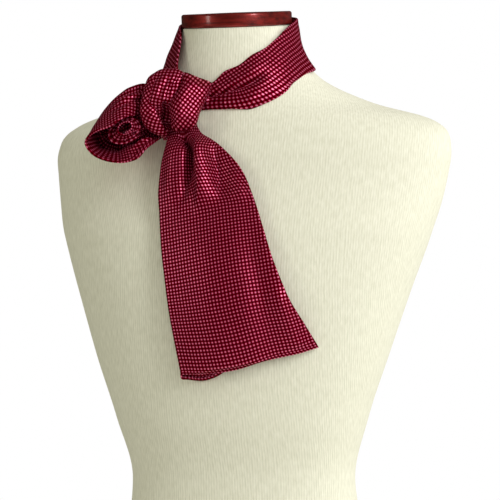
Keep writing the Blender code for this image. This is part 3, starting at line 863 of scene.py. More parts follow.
@dataclass
class SilkPiece:
    """One stretch of the silk strip: a thin shell on its solid's form, with its own folds."""

    name: str
    node: str
    held: Held
    rests_on: tuple[str, ...]
    size: tuple[int, int]  # squares along and across
    seat: Place = (0.0, 0.0, 0.0)  # how far the whole stretch is moved to its place in the knot
    creases: tuple[Crease, ...] = ()
    thread_turn: float = 0.0  # degrees that the yarns run off the stretch's own direction
    thickness: float = 0.5
    form_gap: float = 0.1
    edge_radius: float = 0.9
    edge_under: float = 5.0
    ripple: float = 0.16

    def surface(self) -> Grid:
        """The stretch without its folds, as rows of across, up and out."""
        raise NotImplementedError

    def shares(self) -> Grid:
        """Each point's share aside and along."""
        aside, along = np.meshgrid(*(np.linspace(0, 1, count + 1) for count in reversed(self.size)))
        return np.stack([aside, along], axis=-1)

    def cloth_places(self, points: Grid) -> Grid:
        """Finds each point's place in the cloth, before the yarns are turned.

        Args:
            points: The folded stretch.

        Returns:
            Millimetres aside from its middle line, and along it.
        """
        across = run_lengths(points, 1)
        across = across - across[:, across.shape[1] // 2][:, None]
        along = run_lengths(points, 0).mean(axis=1, keepdims=True)
        return np.stack([across, np.broadcast_to(along, across.shape)], axis=-1)

    def unevenness(self, aside: np.ndarray, along: np.ndarray) -> np.ndarray:
        """The small waves of cloth that was tied by hand.

        Each divisor is a wave's length in millimetres over 2 pi. They share no common measure, so the
        waves never fall into step.

        Args:
            aside: Millimetres from the stretch's left edge.
            along: Millimetres from its top.

        Returns:
            Heights in millimetres.
        """
        short = np.sin(aside / 4.1 + 1.3 * np.sin(along / 11.0)) * np.sin(along / 17.0 + aside / 23.0)
        slanting = np.sin(aside / 7.3 - along / 29.0 + 2.0)
        return self.ripple * (short + slanting)

    def folded(self, points: Grid) -> Grid:
        """Raises the creases and the small waves.

        Args:
            points: The stretch without its folds.

        Returns:
            The stretch with them.
        """
        size = (float(run_lengths(points, 1)[:, -1].mean()), float(run_lengths(points, 0)[-1].mean()))
        face, shares = points[..., :2], self.shares()
        height = self.unevenness(shares[..., 0] * size[0], shares[..., 1] * size[1])
        for crease in self.creases:
            height += crease.raised(face, shares, size)
        return points + facing_normals(points) * height[..., None]

    def turned_yarns(self, places: Grid) -> Grid:
        """Turns the yarns against the stretch's own direction.

        Args:
            places: Places in the cloth.

        Returns:
            The places turned by thread_turn.
        """
        angle = math.radians(self.thread_turn)
        u = places[..., 0] * math.cos(angle) - places[..., 1] * math.sin(angle)
        v = places[..., 0] * math.sin(angle) + places[..., 1] * math.cos(angle)
        return np.stack([u, v], axis=-1)

    def with_edges(self, points: Grid, places: Grid) -> tuple[Grid, Grid]:
        """Turns both long edges softly under.

        Args:
            points: The folded stretch.
            places: Its places in the cloth.

        Returns:
            The points and places with their edges.
        """
        for edge in (Edge.LEFT, Edge.RIGHT):
            points, places = turned_edge(points, places, edge, self.edge_radius, self.edge_under)
        return points, places

    def build(self, form: FormShape, silk: bpy.types.Material) -> bpy.types.Object:
        """Args:
            form: The surface that the silk stays clear of.
            silk: The finish.

        Returns:
            The piece's object.
        """
        points = self.folded(self.surface() + np.array(self.seat))
        places = self.turned_yarns(self.cloth_places(points))
        points, places = self.with_edges(points, places)
        clear = form.clear_of(turned_to_world(points), self.thickness / 2 + self.form_gap)
        rows, columns = points.shape[:2]
        made = mesh_object(self.name, clear, grid_faces(rows, columns), places)
        made.data.materials.append(silk)
        wall = made.modifiers.new("Silk", "SOLIDIFY")
        wall.thickness = self.thickness * MM
        wall.offset = 0.0
        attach(made, "root")
        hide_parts(self.node)
        width = float(run_lengths(clear, 1)[:, -1].mean()) * MM
        length = float(run_lengths(clear, 0)[-1].mean()) * MM
        log.info("%s: %d points, cut %.0f x %.0f mm", self.name, rows * columns, width / MM, length / MM)
        return made


@dataclass(frozen=True)
class Section:
    """One section across a stretch: its two edges, and how far its middle stands out of them."""

    left: Place
    right: Place
    arch: float


@dataclass
class SectionPiece(SilkPiece):
    """A stretch given by sections across it, from its top to its lower end."""

    rows: tuple[Section, ...] = ()
    fullness: float = 2.0  # 2 is a round section, and more is a boxier one
    sag: tuple[float, ...] = (0.0, 0.0)  # how far the lower end droops, from edge to edge
    flat_chart: bool = False  # whether the yarns keep one direction as seen from the front

    def table(self) -> np.ndarray:
        """The sections as rows of numbers."""
        return np.array([(*section.left, *section.right, section.arch) for section in self.rows])

    def surface(self) -> Grid:
        """The stretch without its folds.

        Returns:
            Rows of across, up and out.
        """
        along = np.linspace(0, 1, self.size[0] + 1)
        aside = np.linspace(0, 1, self.size[1] + 1)
        found = through(self.table(), along)
        left, right, arch = found[:, :3], found[:, 3:6], found[:, 6]
        raised = arch[:, None] * (1 - np.abs(2 * aside - 1) ** self.fullness)[None]
        points = left[:, None] + (right - left)[:, None] * aside[None, :, None]
        points = points + self.out_of(along)[:, None] * raised[..., None]
        points[..., 1] -= through(self.sag, aside)[None] * (along**3)[:, None]
        return points

    def cloth_places(self, points: Grid) -> Grid:
        """Rolls the stretch out flat, in its own direction or as it is seen from the front.

        Args:
            points: The folded stretch.

        Returns:
            Places in the cloth, in millimetres.
        """
        if not self.flat_chart:
            return super().cloth_places(points)
        middle = points.shape[1] // 2
        across = run_lengths(points, 1)
        across = across - across[:, middle][:, None]
        slope = unit(points[:, -1, :2] - points[:, 0, :2])
        return points[:, middle, :2][:, None] + across[..., None] * slope[:, None]

    def out_of(self, along: np.ndarray) -> np.ndarray:
        """Finds the directions out of the cloth, square to its sections and to its run.

        Args:
            along: The sections' places from 0 to 1.

        Returns:
            A direction for each section.
        """
        table, step = self.table(), 0.5 / (len(self.rows) - 1)
        before, here, after = (through(table, np.clip(along + k * step, 0, 1)) for k in (-1, 0, 1))
        runs = (after[:, :3] + after[:, 3:6]) - (before[:, :3] + before[:, 3:6])
        return unit(np.cross(runs, here[:, 3:6] - here[:, :3]))


@dataclass
class HangingTail(SectionPiece):
    """The free end: it fans out down the chest, with its left side rolled and turned under."""

    flap_widths: tuple[float, ...] = ()
    flap_radius: float = 2.8
    flap_drop: tuple[float, ...] = (5.4, 6.8, 7.4, 5.4, 1.0, -6.0)  # from the roll to the flap's end
    drop_power: int = 6  # the higher, the nearer to the hem the flap starts to drop
    flap_tuck: float = 6.0  # how far back the flap's hem leans
    tuck_power: int = 14
    roll_steps: int = 10
    flap_steps: int = 18
    flap_chord: int = 34
    hem_radius: float = 0.7
    hem_under: float = 3.0
    fan: float = 0.2  # how far the yarns follow both edges, where 0 keeps them with the left one

    def cloth_places(self, points: Grid) -> Grid:
        """Measures from the left edge, and up from the hem.

        Args:
            points: The folded stretch.

        Returns:
            Places in the cloth, in millimetres.
        """
        across = run_lengths(points, 1)
        share = np.linspace(0, 1, points.shape[1])[None]
        across = across * (1 - self.fan) + share * across[-1, -1] * self.fan
        along = run_lengths(points, 0)
        up = (along - along[-1][None]).mean(axis=1, keepdims=True)
        return np.stack([across, np.broadcast_to(up, across.shape)], axis=-1)

    def with_edges(self, points: Grid, places: Grid) -> tuple[Grid, Grid]:
        """Turns the hem and the right side, and lays the wide left flap under, a little lower.

        Args:
            points: The folded stretch.
            places: Its places in the cloth.

        Returns:
            The points and places with their edges.
        """
        along = np.linspace(0, 1, len(points))
        roll, flat = self.roll_steps, self.flap_steps
        widths = through(self.flap_widths, along)
        points, places = turned_edge(points, places, Edge.RIGHT, self.edge_radius, self.edge_under)
        points, places = turned_edge(
            points, places, Edge.LEFT, self.flap_radius, widths, roll, flat, self.flap_chord
        )
        off_roll = np.linspace(1, 0, flat + 1)[:-1]
        off_front = np.linspace(1, 0, roll + 1)[:-1]
        in_roll = self.flap_drop[0] * smooth_step(0, 0.8, off_front)
        lower = np.concatenate([through(self.flap_drop, off_roll), in_roll])
        points[:, : roll + flat, 1] -= lower[None] * (along**self.drop_power)[:, None]
        leaning = smooth_step(0, 0.25, off_roll)[None] * (along**self.tuck_power)[:, None]
        points[:, :flat, 2] -= self.flap_tuck * leaning
        return turned_edge(points, places, Edge.HEM, self.hem_radius, self.hem_under, backs=2)


@dataclass(frozen=True)
class LoopSection:
    """One section of the loop: its back, its corner and its lip, and how far its face stands out."""

    back: Place
    corner: Place
    lip: Place
    arch: float


@dataclass
class BowLoop(SilkPiece):
    """The loop, folded lengthwise: each section runs down its back, round its corner, out to its lip."""

    rows: tuple[LoopSection, ...] = ()

    def surface(self) -> Grid:
        """The loop without its folds.

        Returns:
            Rows of across, up and out.
        """
        along = np.linspace(0, 1, self.size[0] + 1)
        aside = np.linspace(0, 1, self.size[1] + 1)
        table = np.array([(*r.back, *r.corner, *r.lip, r.arch) for r in self.rows])
        found = through(table, along)
        back, corner, lip, arch = found[:, :3], found[:, 3:6], found[:, 6:9], found[:, 9]
        step = 0.5 / (len(self.rows) - 1)
        before, after = (through(table, np.clip(along + k * step, 0, 1)) for k in (-1, 1))
        runs = (after[:, 3:6] + after[:, 6:9]) - (before[:, 3:6] + before[:, 6:9])
        middle = (corner + lip) / 2 + unit(np.cross(runs, lip - corner)) * arch[:, None]
        sections = np.stack([back, corner, middle, lip], axis=1)
        return np.stack([through(section, aside) for section in sections])


@dataclass
class InnerCurl(SectionPiece):
    """The strip's other end, rolled up in the mouth of the loop as a cone that opens to the front."""

    far_middle: Place = (-120.0, 545.5, 92.0)
    near_middle: Place = (-119.5, 547.5, 103.0)
    far_radii: tuple[float, float] = (14.5, 11.0)  # at the spiral's outer and inner end
    near_radii: tuple[float, float] = (6.8, 4.8)
    stretch: tuple[float, float] = (1.18, 0.86)  # how much wider and lower than round
    slant: float = 0.25  # how much higher its right side lies, for each millimetre across
    crown: float = 1.5
    first_angle: float = -55.0
    turn: float = 400.0
    steps: int = 12

    def __post_init__(self) -> None:
        """Works out the spiral's sections and joins them to the two that leave the knot."""
        rows = list(self.rows)
        for k in range(self.steps + 1):
            share = k / self.steps
            angle = math.radians(self.first_angle - self.turn * share)
            edges: list[Place] = []
            for middle, radii in ((self.far_middle, self.far_radii), (self.near_middle, self.near_radii)):
                radius = radii[0] + (radii[1] - radii[0]) * share
                wide = radius * self.stretch[0] * math.cos(angle)
                high = radius * self.stretch[1] * math.sin(angle)
                edges.append((middle[0] + wide, middle[1] + high + self.slant * wide, middle[2]))
            rows.append(Section(*edges, self.crown))
        self.rows = tuple(rows)


@dataclass(frozen=True)
class BandRow:
    """The neck band at one turn: its edges' heights, how far they stand off, and the bulge between."""

    turn: float
    top: float
    bottom: float
    lift_top: float
    lift_bottom: float
    bulge: float


@dataclass
class NeckBand(SilkPiece):
    """The strip round the neck, standing up as a soft collar."""

    form: FormShape = field(default_factory=FormShape)
    rows: tuple[BandRow, ...] = ()
    degree: float = 1.12  # millimetres round the neck for one degree of turn
    split: Path = ()  # turn and height along the line where the yarns change
    split_onward: tuple[float, float] = (45.0, 24.0)  # how far that line is carried on past its end
    split_blur: float = 0.3
    split_spread: float = 0.9  # how much the change blurs for each millimetre past the line's end
    upper_line: Path = ()
    lower_line: Path = ()

    def readings(self) -> tuple[np.ndarray, np.ndarray, np.ndarray]:
        """Reads the table.

        Returns:
            The turn of each section across the band, the table's other numbers there, and each
            point's share from the lower edge to the upper one.
        """
        keys = [r.turn for r in self.rows]
        table = [(r.top, r.bottom, r.lift_top, r.lift_bottom, r.bulge) for r in self.rows]
        turn = np.linspace(keys[0], keys[-1], self.size[0] + 1)
        return turn, level_through(keys, table, turn), np.linspace(0, 1, self.size[1] + 1)[None]

    def chart(self) -> tuple[np.ndarray, np.ndarray]:
        """Lays the band out by turn and height.

        Returns:
            Each point's turn in degrees and its height in millimetres.
        """
        turn, found, aside = self.readings()
        height = found[:, 1][:, None] + (found[:, 0] - found[:, 1])[:, None] * aside
        return np.broadcast_to(turn[:, None], height.shape), height

    def surface(self) -> Grid:
        """The band without its folds.

        Returns:
            Rows of across, up and out.
        """
        turn, height = self.chart()
        _, found, aside = self.readings()
        lift = found[:, 3][:, None] + (found[:, 2] - found[:, 3])[:, None] * aside
        lift = lift + found[:, 4][:, None] * np.sin(math.pi * aside)
        direction = np.radians(turn + SHOW_TURN - 90)
        return world_to_turned(self.form.point(height, self.form.angle_facing(height, direction), lift))

    def measured(self, line: Path, chart: Grid) -> Grid:
        """Measures places beside a line round the neck.

        Args:
            line: Turns and heights.
            chart: The places, in millimetres round the neck and up.

        Returns:
            How far off the line and how far along it each place lies.
        """
        scaled = [(turn * self.degree, height) for turn, height in line]
        near = beside(scaled, chart, stops=160)
        steps = np.diff(through(scaled, np.linspace(0, 1, 400)), axis=0)
        length = np.linalg.norm(steps, axis=1).sum()
        return np.stack([near.aside, near.along * length], axis=-1)

    def cloth_places(self, points: Grid) -> Grid:
        """Measures from the upper line above the long crease, and from the lower one below it.

        Args:
            points: The folded band; not used.

        Returns:
            Places in the cloth, in millimetres.
        """
        turn, height = self.chart()
        chart = np.stack([turn * self.degree, height], axis=-1)
        last = self.split[-1]
        end = np.array([[[last[0] * self.degree, last[1]]]])
        upper, lower = self.measured(self.upper_line, chart), self.measured(self.lower_line, chart)
        lower = lower + self.measured(self.upper_line, end) - self.measured(self.lower_line, end)
        onward = (last[0] + self.split_onward[0], last[1] + self.split_onward[1])
        near = beside([(t * self.degree, h) for t, h in (*self.split, onward)], chart)
        past = np.clip(chart[..., 0] - end[0, 0, 0], 0, None)
        share = smooth_step(-1, 1, near.aside / (self.split_blur + self.split_spread * past))[..., None]
        return lower * (1 - share) + upper * share


@dataclass
class FormCover:
    """The jersey cover of the padded body, drawn up under the cap in tiny pleats."""

    form: FormShape
    rows: int = 230
    sides: int = 220
    pleat_height: float = 0.35
    pleat_reach: float = 7.0
    pleats: int = 96
    uneven_pleats: int = 7  # how many times round the neck the pleats bunch up
    bunching: float = 2.0
    name: str = "form_cover"

    def build(self, jersey: bpy.types.Material) -> bpy.types.Object:
        """Args:
            jersey: The finish.

        Returns:
            The piece's object.
        """
        height = np.linspace(0, self.form.neck_height, self.rows + 1)
        angle = np.linspace(math.pi / 2, 2.5 * math.pi, self.sides + 1)
        heights, angles = np.meshgrid(height, angle, indexing="ij")
        near_top = np.exp(-(self.form.neck_height - heights) / self.pleat_reach)
        bunched = self.bunching * np.sin(angles * self.uneven_pleats)
        pleats = np.sin(angles * self.pleats + bunched) * near_top
        points = self.form.point(heights, angles, self.pleat_height * (pleats - near_top))
        girth = run_lengths(points, 1)
        places = np.stack([girth - girth[:, -1:] / 2, run_lengths(points, 0)], axis=-1)
        faces = [tuple(reversed(f)) for f in grid_faces(self.rows + 1, self.sides + 1)]
        top = self.rows * (self.sides + 1)
        ends = [tuple(reversed(range(self.sides))), tuple(range(top, top + self.sides))]
        made = mesh_object(self.name, points, faces + ends, places)
        for end in (-2, -1):
            made.data.polygons[end].use_smooth = False
        made.data.materials.append(jersey)
        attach(made, "root")
        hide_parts("form_body")
        log.info("%s: %d points", self.name, points.size // 3)
        return made


@dataclass
class NeckCap:
    """The turned disc that closes the neck: a flat top with eased edges, tilted with the neck."""

    form: FormShape
    radius: float = 54.5
    thickness: float = 13.6
    rounding: float = 2.4
    corner_steps: int = 8
    dome: float = 0.8
    top_rings: tuple[float, ...] = (0.8, 0.55, 0.3)  # as shares of the radius
    gap: float = 0.3
    sides: int = 160
    name: str = "turned_cap"

    def profile(self) -> list[tuple[float, float]]:
        """Draws the disc's outline.

        Returns:
            Radius and height from the edge of its flat foot round to its innermost top ring.
        """
        outline = [(self.radius - self.rounding, 0.0)]
        steps = self.corner_steps
        for k in range(1, steps + 1):
            outline.append(self.on_corner(-math.pi / 2 + math.pi / 2 * k / steps, self.rounding))
        outline.append((self.radius, self.thickness / 2))
        for k in range(steps + 1):
            outline.append(self.on_corner(math.pi / 2 * k / steps, self.thickness - self.rounding))
        for share in self.top_rings:
            rise = self.dome * (1 - share**2) - self.dome / 2
            outline.append((self.radius * share, self.thickness + rise))
        return outline

    def on_corner(self, angle: float, height: float) -> tuple[float, float]:
        """A point of a rounded corner whose middle is at a height."""
        inward = self.rounding * (1 - math.cos(angle))
        return self.radius - inward, height + self.rounding * math.sin(angle)

    def build(self, mahogany: bpy.types.Material) -> bpy.types.Object:
        """Args:
            mahogany: The finish.

        Returns:
            The piece's object.
        """
        outline = self.profile()
        lean = math.radians(self.form.neck_lean)
        ring = self.form.rings[-1]
        foot = np.array([0, (ring.back - ring.front) / 2, ring.height + self.gap])
        angles = np.linspace(0, 2 * math.pi, self.sides, endpoint=False)
        level = [(r * math.cos(a), r * math.sin(a), h) for r, h in outline for a in angles]
        level += [(0.0, 0.0, 0.0), (0.0, 0.0, self.thickness + self.dome / 2)]
        x, y, z = np.array(level).T
        y, z = y * math.cos(lean) - z * math.sin(lean), y * math.sin(lean) + z * math.cos(lean)
        faces = [tuple(reversed(f)) for f in grid_faces(len(outline), self.sides, closed=True)]
        last = (len(outline) - 1) * self.sides
        for j in range(self.sides):
            after = (j + 1) % self.sides
            faces.append((after, j, len(level) - 2))
            faces.append((last + j, last + after, len(level) - 1))
        made = mesh_object(self.name, np.stack([x, y, z], axis=-1) + foot, faces)
        made.data.materials.append(mahogany)
        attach(made, "root")
        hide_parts("neck_cap")
        log.info("%s: %d points", self.name, len(level))
        return made


@dataclass(frozen=True)
class SoftLamp:
    """A soft rectangular lamp, aimed at the bow."""

    name: str
    azimuth: float  # degrees to the right of the camera
    elevation: float
    distance: float
    size: tuple[float, float]  # width and height, in metres
    power: float
    tint: str
    mirrored: bool = True  # whether glossy surfaces show it


@dataclass
class Studio:
    """The camera at the photograph's place, the soft lamps, the white surround and the pale floor."""

    distance: float = 2.6
    aim_height: float = 0.43
    frame_width: float = 0.5  # metres that the photograph spans at the form's axis
    sensor: float = 36.0
    lamps: tuple[SoftLamp, ...] = (
        SoftLamp("key", 35, 25, 2.2, (0.45, 1.2), 21.0, "#F8FAFF"),
        SoftLamp("fill", -60, 12, 2.2, (0.25, 1.0), 5.4, "#FFFFF6"),
        SoftLamp("side", 95, 10, 2.4, (1.0, 1.4), 17.5, "#F8FAFF", mirrored=False),
    )
    bright_side: tuple[float, float] = (60.0, 12.0)  # azimuth and elevation
    surround: tuple[str, str] = ("#81816E", "#E2E2E1")  # its light from the far and the bright side
    dark_side: tuple[float, float] = (-24.0, 0.0)
    dark_edges: tuple[float, float] = (0.86, 0.97)  # cosines off the dark side where dimming starts, ends
    dimmest: float = 0.08
    mirrored_share: float = 0.12  # how much of the surround glossy surfaces show
    floor_radius: float = 1200.0
    floor_sides: int = 96
    floor_drop: float = 0.2

    def direction(self, azimuth: float, elevation: float) -> Vector:
        """A way out from the bow, in degrees from the camera's own side and above its level."""
        a, e = math.radians(SHOW_TURN + azimuth), math.radians(elevation)
        return Vector((math.sin(a) * math.cos(e), -math.cos(a) * math.cos(e), math.sin(e)))

    def stand(self, made: bpy.types.Object, azimuth: float, elevation: float, distance: float) -> None:
        """Puts a camera or a lamp in its place and aims it at the bow's height.

        Args:
            made: The camera or lamp.
            azimuth: Degrees to the right of the camera's own side.
            elevation: Degrees above its level.
            distance: Metres out.
        """
        aim = Vector((0, 0, self.aim_height))
        made.location = self.direction(azimuth, elevation) * distance + aim
        made.rotation_euler = (aim - made.location).to_track_quat("-Z", "Y").to_euler()
        bpy.context.scene.collection.objects.link(made)

    def hang(self, lamp: SoftLamp) -> None:
        """Hangs one soft lamp.

        Args:
            lamp: Its place, size, power and tint.
        """
        data = bpy.data.lights.new(lamp.name, "AREA")
        data.shape = "RECTANGLE"
        data.size, data.size_y = lamp.size
        data.energy = lamp.power
        data.color = linear(lamp.tint)[:3]
        made = bpy.data.objects.new(lamp.name, data)
        made.visible_glossy = lamp.mirrored
        self.stand(made, lamp.azimuth, lamp.elevation, lamp.distance)

    def build(self, paint: bpy.types.Material) -> None:
        """Sets up the camera, the lamps, the surround and the floor.

        Args:
            paint: The floor's finish.
        """
        scene = bpy.context.scene
        scene.view_settings.view_transform = "Standard"
        data = bpy.data.cameras.new("camera")
        data.sensor_width = self.sensor
        data.lens = self.sensor * self.distance / self.frame_width
        scene.camera = bpy.data.objects.new("camera", data)
        self.stand(scene.camera, 0, 0, self.distance)
        for lamp in self.lamps:
            self.hang(lamp)
        self.sky(scene)
        self.floor(paint)

    def sky(self, scene: bpy.types.Scene) -> None:
        """Hangs a white surround, whose light is stronger from the right and dim by the camera.

        Args:
            scene: The scene that it is hung in.
        """
        world = bpy.data.worlds.new("white surround")
        scene.world = world
        world.use_nodes = True
        tree = world.node_tree
        tree.nodes.clear()
        way = add_node(tree, "ShaderNodeTexCoord").outputs["Generated"]
        toward_bright, toward_dark = (
            add_node(tree, VECTOR_MATH, {0: way, 1: self.direction(*side)}, operation="DOT_PRODUCT")
            for side in (self.bright_side, self.dark_side)
        )
        inputs = {0: toward_bright.outputs["Value"], 1: 0.5, 2: 0.5}
        ramp = add_node(tree, RAMP, {0: add_node(tree, MATH, inputs, operation="MULTIPLY_ADD")})
        for stop, shade in zip(ramp.color_ramp.elements, self.surround):
            stop.color = linear(shade)
        start, end = self.dark_edges
        inputs = {"From Min": start, "From Max": end, "To Min": 1.0, "To Max": self.dimmest}
        dim = add_node(tree, MAP_RANGE, {"Value": toward_dark.outputs["Value"], **inputs})
        ray = add_node(tree, "ShaderNodeLightPath")
        inputs = {0: ray.outputs["Is Glossy Ray"], 1: self.mirrored_share - 1, 2: 1.0}
        shown = add_node(tree, MATH, inputs, operation="MULTIPLY_ADD")
        strength = add_node(tree, MATH, {0: dim, 1: shown}, operation="MULTIPLY")
        seen = add_node(tree, "ShaderNodeBackground", {"Color": linear("#FFFFFF"), "Strength": 1.0})
        lit = add_node(tree, "ShaderNodeBackground", {"Color": ramp, "Strength": strength})
        mixed = add_node(tree, "ShaderNodeMixShader", {0: ray.outputs["Is Camera Ray"], 1: lit, 2: seen})
        add_node(tree, "ShaderNodeOutputWorld", {"Surface": mixed})

    def floor(self, paint: bpy.types.Material) -> None:
        """Lays a pale round floor just under the form's base.

        Args:
            paint: The finish.
        """
        angles = np.linspace(0, 2 * math.pi, self.floor_sides, endpoint=False)
        level = np.full(self.floor_sides, -self.floor_drop)
        points = np.stack([np.cos(angles), np.sin(angles), level / self.floor_radius], axis=-1)
        made = mesh_object("floor", points * self.floor_radius, [tuple(range(self.floor_sides))])
        made.data.materials.append(paint)


def neck_band(form: FormShape) -> NeckBand:
    """Lays out the collar.

    Args:
        form: The dress form that the band goes round.

    Returns:
        The piece, from the knot's right round the neck to its left.
    """
    return NeckBand(
        name="silk_neck_band",
        node="neck_band",
        held=Held.DRAPED,
        rests_on=("form_body",),
        size=(300, 44),
        form=form,
        rows=(
            BandRow(-42.0, 584.0, 566.0, 3.0, 1.5, 1.0),
            BandRow(-31.0, 587.0, 566.0, 3.5, 1.5, 1.5),
            BandRow(-22.0, 592.0, 566.5, 4.0, 1.5, 2.0),
            BandRow(-12.0, 603.5, 566.5, 3.0, 1.5, 2.5),
            BandRow(0.0, 609.5, 566.0, 2.5, 1.5, 3.0),
            BandRow(14.0, 621.0, 573.0, 2.5, 1.5, 3.5),
            BandRow(27.0, 627.5, 583.0, 2.5, 1.0, 3.5),
            BandRow(38.0, 635.0, 593.5, 3.5, 1.0, 3.5),
            BandRow(57.0, 647.0, 603.5, 5.0, 2.5, 3.0),
            BandRow(70.0, 652.0, 607.0, 6.0, 6.0, 1.5),
            BandRow(85.0, 655.0, 612.0, 6.5, 2.0, 2.5),
            BandRow(125.0, 657.0, 613.0, 6.5, 1.5, 3.5),
            BandRow(165.0, 655.0, 608.0, 6.0, 1.5, 4.0),
            BandRow(205.0, 655.5, 605.0, 5.5, 1.5, 4.5),
            BandRow(240.0, 655.0, 605.0, 4.5, 1.5, 5.0),
            BandRow(264.0, 653.0, 602.0, 3.5, 1.5, 5.5),
            BandRow(280.0, 650.0, 596.0, 4.0, 1.5, 6.0),
            BandRow(292.0, 641.0, 592.0, 6.0, 4.0, 4.0),
            BandRow(298.0, 631.0, 590.0, 8.5, 7.0, 3.0),
            BandRow(304.0, 619.0, 588.0, 12.0, 10.0, 2.0),
            BandRow(310.0, 608.0, 585.0, 15.5, 14.5, 1.0),
            BandRow(316.0, 597.0, 580.0, 17.0, 16.0, 0.5),
        ),
        split=((-42.0, 574.0), (-24.0, 577.0), (-4.0, 585.0), (8.0, 593.0), (16.0, 600.0)),
        upper_line=(
            (-44.0, 577.0), (-20.0, 596.0), (0.0, 611.0), (20.0, 626.0), (45.0, 642.0),
            (85.0, 655.0), (125.0, 657.0), (165.0, 656.0), (205.0, 656.0), (250.0, 656.0),
            (275.0, 652.0), (290.0, 643.0), (304.0, 619.0), (316.0, 597.0),
        ),
        lower_line=(
            (-44.0, 564.0), (-20.0, 566.0), (0.0, 568.0), (14.0, 574.0), (27.0, 583.0), (45.0, 597.0),
            (65.0, 607.0), (85.0, 612.0), (125.0, 613.0), (165.0, 608.0), (205.0, 605.0), (250.0, 605.0),
            (270.0, 600.0), (292.0, 592.0), (316.0, 580.0),
        ),
        creases=(
            Crease(
                (
                    (-42.0, 577.0), (-34.0, 578.5), (-20.0, 582.5), (-6.0, 588.0), (8.0, 596.0),
                    (18.0, 603.0),
                ),
                height=-7.0, left=2.2, right=4.0, start_fade=0.02, end_fade=0.35,
            ),
            Crease(
                ((-30.0, 570.0), (-12.0, 571.5), (4.0, 576.5), (14.0, 584.5)),
                height=3.2, left=4.5, right=4.5,
            ),
            Crease(
                ((-36.0, 583.0), (-20.0, 587.5), (-6.0, 593.5), (8.0, 601.5), (18.0, 608.0)),
                height=3.0, left=6.0, right=3.0,
            ),
            Crease(
                ((-26.0, 588.0), (-10.0, 598.0), (6.0, 608.0), (20.0, 616.0)),
                height=1.6, left=6.0, right=5.0,
            ),
            Crease(
                ((0.26, 0.62), (0.44, 0.5), (0.6, 0.56)),
                height=-2.2, left=4.0, right=5.0, chart=Chart.SHARE,
            ),
        ),
    )


